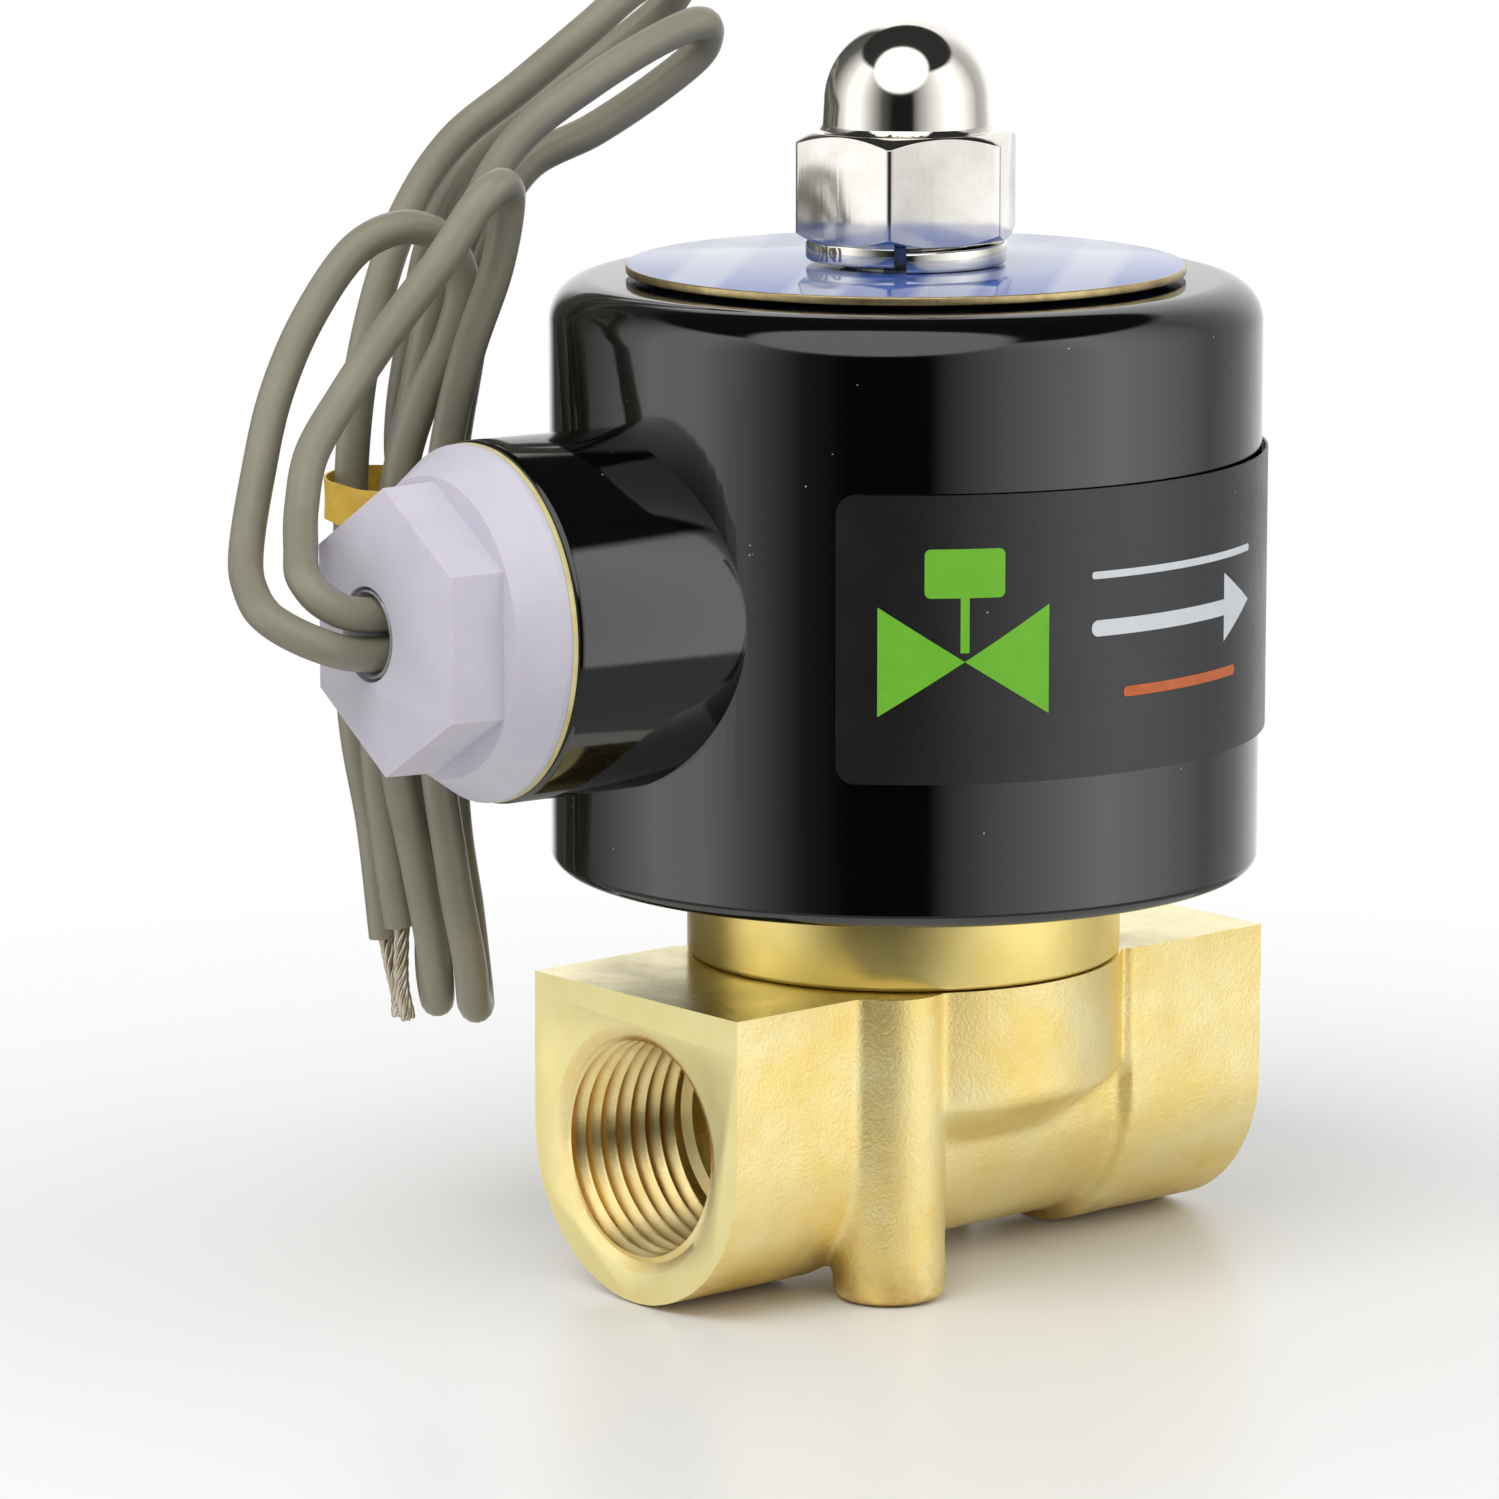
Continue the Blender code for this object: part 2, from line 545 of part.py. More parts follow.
def make_washer(stem):
    """A split spring washer. Its ring is cut through once."""
    nickel = material("nickel plate", (0.74, 0.72, 0.68), 1.0, 0.12)
    around = ring("spring_washer", STUD_RADIUS + GAP, WASHER_RADIUS, WASHER_BOTTOM, WASHER_TOP, 36,
                  0.25 * MM)
    washer = place("spring_washer", around, nickel, stem)
    near = STUD_RADIUS - 2 * MM
    far = WASHER_RADIUS + 2 * MM
    half = WASHER_SPLIT_WIDTH / 2
    outline = [(near, -half), (far, -half), (far, half), (near, half)]
    slot = prism("cut_washer_split", outline, WASHER_BOTTOM - 1 * MM, WASHER_TOP + 1 * MM)
    turn = Matrix.Rotation(WASHER_SPLIT_TURN, 4, "Z")
    combine(washer, [cutter("cut_washer_split", slot, stem, turn)], "DIFFERENCE")


def make_plunger_spring(stem):
    """A return spring in the plunger's bore, pressing on the fixed core."""
    steel = material("spring steel", (0.55, 0.55, 0.56), 1.0, 0.3)
    low = SPRING_SEAT_Z + GAP + SPRING_WIRE_RADIUS
    high = CORE_BOTTOM - 0.1 * MM - SPRING_WIRE_RADIUS
    steps = SPRING_TURNS * SPRING_STEPS_PER_TURN
    points = []
    for i in range(steps + 1):
        angle = math.tau * i / SPRING_STEPS_PER_TURN
        x = SPRING_MEAN_RADIUS * math.cos(angle)
        y = SPRING_MEAN_RADIUS * math.sin(angle)
        points.append(Vector((x, y, low + (high - low) * i / steps)))
    tube_along("plunger_spring", points, SPRING_WIRE_RADIUS, steel, stem, 1)


# ---- plunger ------------------------------------------------------------------------------
def make_plunger(slide):
    steel = material("magnetic stainless steel", (0.56, 0.56, 0.57), 1.0, 0.28)
    profile = [
        (0.0, PLUNGER_BOTTOM + SEAL_POCKET),
        (SEAL_RADIUS + GAP, PLUNGER_BOTTOM + SEAL_POCKET),
        (SEAL_RADIUS + GAP, PLUNGER_BOTTOM),
        (CORE_RADIUS - EDGE, PLUNGER_BOTTOM),
        (CORE_RADIUS, PLUNGER_BOTTOM + EDGE),
        (CORE_RADIUS, PLUNGER_TOP - EDGE),
        (CORE_RADIUS - EDGE, PLUNGER_TOP),
        (SPRING_BORE_RADIUS, PLUNGER_TOP),
        (SPRING_BORE_RADIUS, SPRING_SEAT_Z),
        (0.0, SPRING_SEAT_Z),
    ]
    place("plunger", turned("plunger", profile, 28), steel, slide)
    rubber = material("fluoro rubber", (0.03, 0.02, 0.02), 0.0, 0.55)
    seal_top = PLUNGER_BOTTOM + SEAL_POCKET - GAP
    seal = cylinder("plunger_seal", SEAL_RADIUS, SEAT_TOP + GAP, seal_top, 24)
    place("plunger_seal", seal, rubber, slide)


# ---- coil: everything that swivels about the stem -----------------------------------------
def on_boss(mesh):
    """Moves a mesh made about +Z onto the boss axis, which points to -X."""
    mesh.transform(Matrix.Translation((0, 0, BOSS_AXIS_Z)) @ ALONG_MINUS_X)
    return mesh


def make_can(coil):
    paint = material("black stove enamel", (0.012, 0.012, 0.013), 0.0, 0.16)
    inner = CAN_RADIUS - CAN_WALL
    inner_fillet = CAN_TOP_FILLET - CAN_WALL
    profile = [(CAN_LIP_RADIUS, CAN_BOTTOM)]
    profile += arc(CAN_RADIUS - CAN_LIP, CAN_BOTTOM + CAN_LIP, CAN_LIP, -90, 0, 2)
    profile += arc(CAN_RADIUS - CAN_TOP_FILLET, CAN_TOP - CAN_TOP_FILLET, CAN_TOP_FILLET, 0, 90, 5)
    profile += [(CAN_HOLE_RADIUS, CAN_TOP), (CAN_HOLE_RADIUS, CAN_TOP - CAN_WALL)]
    profile += arc(inner - inner_fillet, CAN_TOP - CAN_TOP_FILLET, inner_fillet, 90, 0, 2)
    profile += [(inner, CAN_BOTTOM + CAN_LIP), (CAN_LIP_RADIUS, CAN_BOTTOM + CAN_LIP)]
    can = place("coil_housing", turned("coil_housing", profile, 56), paint, coil)
    sleeve_profile = [
        (0.0, inner - 3.2 * MM),
        (BOSS_TUBE_RADIUS, inner - 3.2 * MM),
        (BOSS_TUBE_RADIUS, BOSS_TUBE_END - 0.5 * MM),
        (BOSS_TUBE_RADIUS - 0.5 * MM, BOSS_TUBE_END),
        (0.0, BOSS_TUBE_END),
    ]
    sleeve = cutter("add_side_boss", on_boss(turned("add_side_boss", sleeve_profile, 40)), coil)
    trim = cutter("keep_inside_clear", cylinder("keep_inside_clear", inner, CAN_BOTTOM + 1.5 * MM,
                                                CAN_TOP - CAN_WALL - 2.0 * MM, 56), coil)
    bore = cylinder("cut_boss_bore", BOSS_TUBE_INNER, 15 * MM, BOSS_TUBE_END + 3 * MM, 36)
    combine(sleeve, [trim], "DIFFERENCE")
    combine(can, [sleeve], "UNION")
    combine(can, [cutter("cut_boss_bore", on_boss(bore), coil)], "DIFFERENCE")


def make_coil_inside(coil):
    steel = material("soft iron", (0.30, 0.30, 0.31), 1.0, 0.45)
    nylon = material("glass filled nylon", (0.06, 0.06, 0.065), 0.0, 0.5)
    copper = material("enamelled copper", (0.55, 0.20, 0.08), 0.8, 0.35)
    tape = material("polyester tape", (0.75, 0.60, 0.12), 0.0, 0.4)
    bottom = CAN_BOTTOM + CAN_LIP + GAP
    top = bottom + BOTTOM_PLATE_THICKNESS
    plate = ring("housing_bottom_plate", CAN_HOLE_RADIUS, BOTTOM_PLATE_RADIUS, bottom, top, 36)
    place("housing_bottom_plate", plate, steel, coil)

    low = top + GAP
    high = CAN_TOP - CAN_WALL - GAP
    for name, start in (("lower_flux_sleeve", low), ("upper_flux_sleeve", high - FLUX_SLEEVE_LENGTH)):
        place(name, ring(name, *FLUX_SLEEVE, start, start + FLUX_SLEEVE_LENGTH, 24), steel, coil)

    lower_flange = low + BOBBIN_FLANGE_THICKNESS
    upper_flange = high - BOBBIN_FLANGE_THICKNESS
    profile = [
        (BOBBIN_BORE_RADIUS, low),
        (BOBBIN_FLANGE_RADIUS, low),
        (BOBBIN_FLANGE_RADIUS, lower_flange),
        (BOBBIN_CORE_RADIUS, lower_flange),
        (BOBBIN_CORE_RADIUS, upper_flange),
        (BOBBIN_FLANGE_RADIUS, upper_flange),
        (BOBBIN_FLANGE_RADIUS, high),
        (BOBBIN_BORE_RADIUS, high),
    ]
    place("coil_bobbin", turned("coil_bobbin", profile, 32), nylon, coil)
    wound = (lower_flange + GAP, upper_flange - GAP)
    winding = ring("copper_winding", BOBBIN_CORE_RADIUS + GAP, WINDING_RADIUS, *wound, 32)
    place("copper_winding", winding, copper, coil)
    place("winding_tape", ring("winding_tape", *TAPE, *wound, 32), tape, coil)


def make_splices(coil):
    """Crimped joints between the winding's ends and the leads, inside the boss."""
    sleeve = material("splice sleeve", (0.55, 0.05, 0.04), 0.0, 0.45)
    for number, offset in ((1, -LEAD_SPACING / 2), (2, LEAD_SPACING / 2)):
        name = f"lead_splice_{number}"
        z = WIRE_HOLE_Z + offset
        mesh = cylinder(name, LEAD_RADIUS, *SPLICE, 12)
        mesh.transform(Matrix.Translation((0, WIRE_HOLE_Y, z)) @ ALONG_MINUS_X)
        place(name, mesh, sleeve, coil)


def make_plug(coil):
    """The nylon plug that closes the boss, with the hole that the leads come out of."""
    nylon = material("pale nylon", (0.70, 0.69, 0.76), 0.0, 0.42)
    cone_top = HEX_ACROSS_FLATS / math.sqrt(3.0) + 0.3 * MM
    profile = [
        (0.0, PLUG_SHANK_END),
        (PLUG_SHANK_RADIUS, PLUG_SHANK_END),
        (PLUG_SHANK_RADIUS, FLANGE_BACK),
        (PLUG_FLANGE_RADIUS, FLANGE_BACK),
        (PLUG_FLANGE_RADIUS, FLANGE_BACK + 0.4 * MM),
        (cone_top, HEX_BASE),
        (0.0, HEX_BASE),
    ]
    plug = place("cable_gland", on_boss(turned("cable_gland", profile, 40)), nylon, coil)
    head = prism("add_hex_head", hexagon(HEX_ACROSS_FLATS, 0.0), HEX_BASE - 1 * MM, HEX_FACE)
    hole = cylinder("cut_wire_hole", WIRE_HOLE_RADIUS, PLUG_SHANK_END - 1 * MM, HEX_FACE + 1 * MM, 24)
    hole.transform(Matrix.Translation((0, WIRE_HOLE_Y, WIRE_HOLE_Z)) @ ALONG_MINUS_X)
    combine(plug, [cutter("add_hex_head", on_boss(head), coil)], "UNION")
    combine(plug, [cutter("cut_wire_hole", hole, coil)], "DIFFERENCE")

    gasket = material("cream gasket", (0.80, 0.74, 0.50), 0.0, 0.5)
    seal = ring("gland_gasket", PLUG_SHANK_RADIUS + GAP, PLUG_FLANGE_RADIUS - 0.1 * MM,
                BOSS_TUBE_END + GAP, FLANGE_BACK - GAP, 36)
    place("gland_gasket", on_boss(seal), gasket, coil)

    clear = material("clear sleeve", (0.85, 0.85, 0.85), 0.0, 0.1)
    outer_end = HEX_FACE - 0.2 * MM
    sleeve = ring("lead_sleeve", *LEAD_SLEEVE, outer_end - LEAD_SLEEVE_LENGTH, outer_end, 20)
    sleeve.transform(Matrix.Translation((0, WIRE_HOLE_Y, WIRE_HOLE_Z)) @ ALONG_MINUS_X)
    place("lead_sleeve", sleeve, clear, coil)


def make_leads(coil):
    pvc = material("grey vinyl", (0.34, 0.33, 0.28), 0.0, 0.45)
    tin = material("tinned strands", (0.70, 0.68, 0.60), 1.0, 0.35)
    tie = material("yellow paper tape", (0.85, 0.60, 0.08), 0.0, 0.55)
    for number, route in ((1, LEAD_1_ROUTE), (2, LEAD_2_ROUTE)):
        tube_along(f"lead_wire_{number}", smooth_path(route, 11 * MM, 34), LEAD_RADIUS, pvc, coil)
    for number, route in ((1, STRAND_1_ROUTE), (2, STRAND_2_ROUTE)):
        tube_along(f"lead_strands_{number}", smooth_path(route, 2.5 * MM, 40), STRAND_RADIUS, tin, coil, 1)

    bm = bmesh.new()
    outer = []
    inner = []
    for angle in [math.tau * i / 24 for i in range(24)]:
        for points, extra in ((outer, TIE_THICKNESS), (inner, 0.0)):
            x = (TIE_HALF_AXES.x + extra) * math.cos(angle)
            y = (TIE_HALF_AXES.y + extra) * math.sin(angle)
            points.append(bm.verts.new((x, y, 0)))
    loops = []
    for points in (outer, inner):
        loops += [bm.edges.new(pair) for pair in zip(points, points[1:] + points[:1])]
    band = bmesh.ops.bridge_loops(bm, edges=loops)["faces"]
    raised = bmesh.ops.extrude_face_region(bm, geom=band)["geom"]
    tops = [item for item in raised if isinstance(item, bmesh.types.BMVert)]
    bmesh.ops.translate(bm, verts=tops, vec=(0, 0, TIE_HEIGHT))
    mesh = finished(bm, "bundle_tie")
    mesh.transform(Matrix.Translation((*TIE_CENTRE, TIE_BOTTOM)))
    place("bundle_tie", mesh, tie, coil)


def make_labels(coil):
    foil = material("blue foil", (0.20, 0.35, 0.62), 0.6, 0.2)
    plate = ring("nameplate_disc", STUD_RADIUS + 0.6 * MM, PLATE_RADIUS, PLATE_BOTTOM, PLATE_TOP, 48)
    place("nameplate_disc", plate, foil, coil)

    film = material("charcoal film", (0.05, 0.05, 0.055), 0.0, 0.35)
    steps = 24
    outline = []
    for radius, order in ((LABEL_OUTER, range(steps + 1)), (LABEL_INNER, range(steps, -1, -1))):
        for i in order:
            angle = LABEL_START + LABEL_ARC * i / steps
            outline.append((radius * math.cos(angle), radius * math.sin(angle)))
    place("side_label", prism("side_label", outline, LABEL_BOTTOM, LABEL_TOP), film, coil)


def main():
    clear_scene()
    stem = empty("stem_axis", (STEM_X, 0, 0))
    slide = empty("plunger_slide_axis", (0, 0, 0), parent=stem)
    coil = empty("coil_swivel_axis", (0, 0, 0), COIL_TURN, stem)
    make_body(stem)
    make_bonnet(stem)
    make_guide_tube(stem)
    make_fixed_core(stem)
    make_cap_nut(stem)
    make_washer(stem)
    make_plunger_spring(stem)
    make_plunger(slide)
    make_can(coil)
    make_coil_inside(coil)
    make_splices(coil)
    make_plug(coil)
    make_leads(coil)
    make_labels(coil)


main()
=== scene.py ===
# %% [markdown]
# # A small brass solenoid valve
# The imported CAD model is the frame: it holds every size, and what moves with what. This script
# builds the surfaces that a person sees round that frame. Units are metres, +Z is up, the flow
# runs along X, and the coil and the cap nut share one upright axis, called the stem here.

import math

import bmesh
import bpy
from mathutils import Matrix, Vector, noise


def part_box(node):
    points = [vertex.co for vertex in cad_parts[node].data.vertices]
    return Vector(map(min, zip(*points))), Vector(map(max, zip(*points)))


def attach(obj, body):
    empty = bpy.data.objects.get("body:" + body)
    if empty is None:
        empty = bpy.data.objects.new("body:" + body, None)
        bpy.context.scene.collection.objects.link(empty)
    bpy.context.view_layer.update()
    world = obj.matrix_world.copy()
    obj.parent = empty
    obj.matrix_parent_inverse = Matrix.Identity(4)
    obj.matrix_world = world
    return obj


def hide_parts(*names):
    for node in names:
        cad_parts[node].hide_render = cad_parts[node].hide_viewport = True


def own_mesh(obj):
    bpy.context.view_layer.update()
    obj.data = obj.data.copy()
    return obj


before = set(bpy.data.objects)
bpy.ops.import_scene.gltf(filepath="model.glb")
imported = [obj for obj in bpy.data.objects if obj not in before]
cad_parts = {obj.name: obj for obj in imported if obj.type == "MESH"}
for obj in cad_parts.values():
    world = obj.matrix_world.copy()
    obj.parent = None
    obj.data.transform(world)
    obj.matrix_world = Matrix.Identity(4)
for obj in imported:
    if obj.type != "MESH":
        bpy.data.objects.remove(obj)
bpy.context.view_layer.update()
MM = 0.001

# %% [markdown]
# ## The two axes that everything is placed from
# The stem's place is read from the cap nut's box. The coil was clamped a few degrees off the flow
# axis, so it gets a frame of its own, and the side boss, which lies on its side, gets a third.

# %% Axes
nut_low, nut_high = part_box("cap_nut")
STEM_X = (nut_low.x + nut_high.x) / 2
COIL_TURN = math.radians(-6.8)
BOSS_AXIS_Z = 48.1 * MM

on_stem = Matrix.Translation((STEM_X, 0, 0))
on_coil = on_stem @ Matrix.Rotation(COIL_TURN, 4, "Z")
along_minus_x = Matrix.Rotation(math.radians(-90), 4, "Y")  # turns +Z to -X
on_boss = on_coil @ Matrix.Translation((0, 0, BOSS_AXIS_Z)) @ along_minus_x
print("stem at x =", round(STEM_X / MM, 2), "mm")

# %% [markdown]
# ## Camera
# A long lens from about half a metre away, looking down a little. A long lens keeps the upright
# sides of the can nearly parallel, which is how small fittings are usually shown.

# %% Camera
camera_data = bpy.data.cameras.new("studio_camera")
camera_data.lens = 180.6
camera_data.sensor_width = 36.0
camera_data.clip_start = 0.02
camera_data.clip_end = 20.0
camera = bpy.data.objects.new("studio_camera", camera_data)
camera.location = (-0.3360, -0.3858, 0.1325)
camera.rotation_euler = (math.radians(90 - 10.581), 0, math.radians(-40.616))
bpy.context.scene.collection.objects.link(camera)
bpy.context.scene.camera = camera
bpy.context.scene.view_settings.view_transform = "Standard"
print("camera", tuple(round(v, 3) for v in camera.location))

# %% [markdown]
# ## Shader helpers
# A material here is a short list of nodes. A few helpers keep that list readable. Each of them adds
# one node, takes sockets or plain values as its inputs, and returns the output that is used next.

# %% Shader helpers
VECTOR, FLOAT = "NodeSocketVector", "NodeSocketFloat"
DUST_COLOUR = (0.5, 0.48, 0.42)


def add_node(tree, kind, **settings):
    made = tree.nodes.new(kind)
    for name, value in settings.items():
        setattr(made, name, value)
    return made


def wire(tree, source, target):
    tree.links.new(source, target)


def feed(tree, socket, value):
    """Joins an output to a socket, or sets the socket's value. A colour may be three numbers."""
    if isinstance(value, bpy.types.NodeSocket):
        wire(tree, value, socket)
    elif socket.type == "RGBA":
        socket.default_value = (*value, 1.0)
    else:
        socket.default_value = value


def maths(tree, operation, first, second=0.0):
    made = add_node(tree, "ShaderNodeMath", operation=operation)
    feed(tree, made.inputs[0], first)
    feed(tree, made.inputs[1], second)
    return made.outputs[0]


def vector_maths(tree, operation, first, second=(0.0, 0.0, 0.0), output="Vector"):
    made = add_node(tree, "ShaderNodeVectorMath", operation=operation)
    feed(tree, made.inputs[0], first)
    feed(tree, made.inputs[1], second)
    return made.outputs[output]


def ranged(tree, value, low, high, to_low=0.0, to_high=1.0):
    """Stretches a value's range from low and high to the other two, and stops at their ends."""
    made = add_node(tree, "ShaderNodeMapRange")
    for socket, given in zip(("Value", "From Min", "From Max", "To Min", "To Max"),
                             (value, low, high, to_low, to_high)):
        feed(tree, made.inputs[socket], given)
    return made.outputs["Result"]


def mixed(tree, factor, first, second):
    """The first colour where the factor is 0, and the second where it is 1."""
    made = add_node(tree, "ShaderNodeMix", data_type="RGBA")
    for socket, given in (("Factor", factor), ("A", first), ("B", second)):
        feed(tree, made.inputs[socket], given)
    return made.outputs["Result"]


def either_of(tree, factor, first, second):
    """The first shader where the factor is 0, and the second where it is 1."""
    made = add_node(tree, "ShaderNodeMixShader")
    for socket, given in zip(made.inputs, (factor, first, second)):
        feed(tree, socket, given)
    return made.outputs["Shader"]


def axes_of(tree, vector):
    """The X, Y and Z outputs of a vector."""
    parts = add_node(tree, "ShaderNodeSeparateXYZ")
    wire(tree, vector, parts.inputs[0])
    return parts.outputs


def object_place(tree):
    return add_node(tree, "ShaderNodeTexCoord").outputs["Object"]


def new_group(name, inputs, output_names):
    """An empty shader group whose outputs are values. It returns the tree and its two end nodes."""
    tree = bpy.data.node_groups.new(name, "ShaderNodeTree")
    for socket, kind, value in inputs:
        made = tree.interface.new_socket(name=socket, in_out="INPUT", socket_type=kind)
        if value is not None:
            made.default_value = value
    for socket in output_names:
        tree.interface.new_socket(name=socket, in_out="OUTPUT", socket_type=FLOAT)
    print("group:", name)
    return tree, tree.nodes.new("NodeGroupInput"), tree.nodes.new("NodeGroupOutput")


def use_group(tree, group, place, **values):
    """Puts a group in a material, at a position. Underscores in the inputs' names stand for spaces."""
    made = add_node(tree, "ShaderNodeGroup", node_tree=group)
    wire(tree, place, made.inputs["Vector"])
    for name, value in values.items():
        made.inputs[name.replace("_", " ")].default_value = value
    return made.outputs


def noise_of(tree, vector, scale, detail=2.0, rough=0.5):
    made = add_node(tree, "ShaderNodeTexNoise")
    for socket, given in (("Vector", vector), ("Scale", scale), ("Detail", detail), ("Roughness", rough)):
        feed(tree, made.inputs[socket], given)
    return made.outputs["Fac"]

# %% [markdown]
# ## Effects that many finishes share
# Cloudy drift of tone, fine surface grain, scattered dust and straight tool marks appear on nearly
# every piece, each at its own scale. Each one is a group, built once. They read a position in
# metres, so a scale of 1000 means a feature about a millimetre across.

# %% Drift of tone
drift, drift_in, drift_out = new_group(
    "drift of tone", [("Vector", VECTOR, None), ("Scale", FLOAT, 200.0)], ("Mask", "Second Mask"))
for socket, offset in (("Mask", (0.0, 0.0, 0.0)), ("Second Mask", (0.31, 0.17, 0.53))):
    shifted = vector_maths(drift, "ADD", drift_in.outputs["Vector"], offset)
    clouds = noise_of(drift, shifted, drift_in.outputs["Scale"], 5.0, 0.6)
    wire(drift, ranged(drift, clouds, 0.32, 0.68), drift_out.inputs[socket])

# %% Surface grain
grain, grain_in, grain_out = new_group(
    "surface grain", [("Vector", VECTOR, None), ("Scale", FLOAT, 2000.0)], ("Height",))
pebbles = noise_of(grain, grain_in.outputs["Vector"], grain_in.outputs["Scale"], 3.0, 0.55)
wire(grain, pebbles, grain_out.inputs["Height"])

# %% Dust specks
specks, specks_in, specks_out = new_group(
    "dust specks", [("Vector", VECTOR, None), ("Scale", FLOAT, 700.0), ("Size", FLOAT, 0.05)], ("Mask",))
cells = add_node(specks, "ShaderNodeTexVoronoi")
wire(specks, specks_in.outputs["Vector"], cells.inputs["Vector"])
wire(specks, specks_in.outputs["Scale"], cells.inputs["Scale"])
# A slow noise leaves most of the surface clean, so that the specks come in loose groups.
gate = maths(specks, "GREATER_THAN", noise_of(specks, specks_in.outputs["Vector"], 330.0), 0.60)
small = maths(specks, "LESS_THAN", cells.outputs["Distance"], specks_in.outputs["Size"])
wire(specks, maths(specks, "MULTIPLY", gate, small), specks_out.inputs["Mask"])

# %% Tool marks
marks, marks_in, marks_out = new_group(
    "tool marks", [("Vector", VECTOR, None), ("Stretch", VECTOR, (60.0, 60.0, 6000.0))], ("Height",))
stretched = vector_maths(marks, "MULTIPLY", marks_in.outputs["Vector"], marks_in.outputs["Stretch"])
wire(marks, noise_of(marks, stretched, 1.0, 4.0), marks_out.inputs["Height"])

# %% [markdown]
# ## One way to build a finish
# Each finish starts from two close colours that drift into each other, a range of roughness and a
# bump. What makes nickel differ from nylon is the numbers, so the nodes are built by one function,
# and a finish that needs more, such as the foil's bands, adds its own nodes afterwards.

# %% The finish maker
def finish(name, light, dark, metallic=0.0, rough=(0.3, 0.5), tone_scale=200.0, grain_scale=2000.0,
           bump=0.02, tool_marks=None, dust=None, **shader_values):
    """A material. light and dark are its two tones, bump is in millimetres."""
    made = bpy.data.materials.new(name)
    made.use_nodes = True
    tree = made.node_tree
    shader = tree.nodes["Principled BSDF"]
    shader.inputs["Metallic"].default_value = metallic
    for socket, value in shader_values.items():
        shader.inputs[socket.replace("_", " ")].default_value = value

    place = object_place(tree)
    tone = use_group(tree, drift, place, Scale=tone_scale)
    colour = mixed(tree, tone["Mask"], dark, light)
    if dust:
        settled = use_group(tree, specks, place, Scale=dust[0], Size=dust[1])
        colour = mixed(tree, settled["Mask"], colour, DUST_COLOUR)
    wire(tree, colour, shader.inputs["Base Color"])
    wire(tree, ranged(tree, tone["Second Mask"], 0.0, 1.0, *rough), shader.inputs["Roughness"])

    if tool_marks:
        relief = use_group(tree, marks, place, Stretch=tool_marks)
    else:
        relief = use_group(tree, grain, place, Scale=grain_scale)
    bumps = add_node(tree, "ShaderNodeBump")
    bumps.inputs["Distance"].default_value = bump * MM
    wire(tree, relief["Height"], bumps.inputs["Height"])
    wire(tree, bumps.outputs["Normal"], shader.inputs["Normal"])
    return made


def base_of(look):
    """A finish's tree, its base colour socket, and the output that feeds it now."""
    socket = look.node_tree.nodes["Principled BSDF"].inputs["Base Color"]
    return look.node_tree, socket, socket.links[0].from_socket


# %% [markdown]
# ## Mesh helpers
# Most of this valve was made on a lathe, so most pieces are a profile spun round the stem. The
# profile is a list of (radius, height) points, and round corners are arcs.

# %% Mesh helpers
def arc(centre_r, centre_z, radius, start_deg, end_deg, steps=6):
    """Profile points along an arc, both ends included."""
    angles = [math.radians(start_deg + (end_deg - start_deg) * i / steps) for i in range(steps + 1)]
    return [(centre_r + radius * math.cos(a), centre_z + radius * math.sin(a)) for a in angles]


def spun(profile, steps=96):
    """A bmesh spun round Z from (radius, z) points. A profile off the axis closes on itself."""
    bm = bmesh.new()
    verts = [bm.verts.new((r, 0.0, z)) for r, z in profile]
    edges = [bm.edges.new(pair) for pair in zip(verts, verts[1:])]
    if profile[0][0] > 0.0:
        edges.append(bm.edges.new((verts[-1], verts[0])))
    bmesh.ops.spin(bm, geom=verts + edges, cent=(0, 0, 0), axis=(0, 0, 1), dvec=(0, 0, 0),
                   angle=math.tau, steps=steps, use_merge=True, use_duplicate=False)
    return bm


def closed_up(bm):
    """Merges doubled points, then turns every face outwards."""
    bmesh.ops.remove_doubles(bm, verts=bm.verts, dist=1e-7)
    bmesh.ops.recalc_face_normals(bm, faces=bm.faces)
    return bm


def as_object(bm, name, place=None, look=None, smooth_deg=35.0):
    """A finished bmesh as an object that sits at the origin, with its place in its mesh."""
    closed_up(bm)
    if place:
        bmesh.ops.transform(bm, matrix=place, verts=bm.verts)
    mesh = bpy.data.meshes.new(name)
    bm.to_mesh(mesh)
    bm.free()
    made = bpy.data.objects.new(name, mesh)
    bpy.context.scene.collection.objects.link(made)
    if look:
        mesh.materials.append(look)
    mesh.shade_smooth()
    mesh.set_sharp_from_angle(angle=math.radians(smooth_deg))
    return made


def hexagon_bar(corner_radius, bottom, top):
    """A six-sided bar. Its first corner is on +Y."""
    bm = bmesh.new()
    bmesh.ops.create_circle(bm, cap_ends=True, segments=6, radius=corner_radius)
    raised = bmesh.ops.extrude_face_region(bm, geom=bm.faces[:])
    upper = [item for item in raised["geom"] if isinstance(item, bmesh.types.BMVert)]
    bmesh.ops.translate(bm, verts=upper, vec=(0, 0, top - bottom))
    bmesh.ops.translate(bm, verts=bm.verts, vec=(0, 0, bottom))
    return bm


def settle(obj, smooth_deg=35.0):
    """Makes what an object's modifiers give its real mesh."""
    graph = bpy.context.evaluated_depsgraph_get()
    mesh = bpy.data.meshes.new_from_object(obj.evaluated_get(graph))
    obj.modifiers.clear()
    obj.data = mesh
    mesh.shade_smooth()
    mesh.set_sharp_from_angle(angle=math.radians(smooth_deg))
    return obj


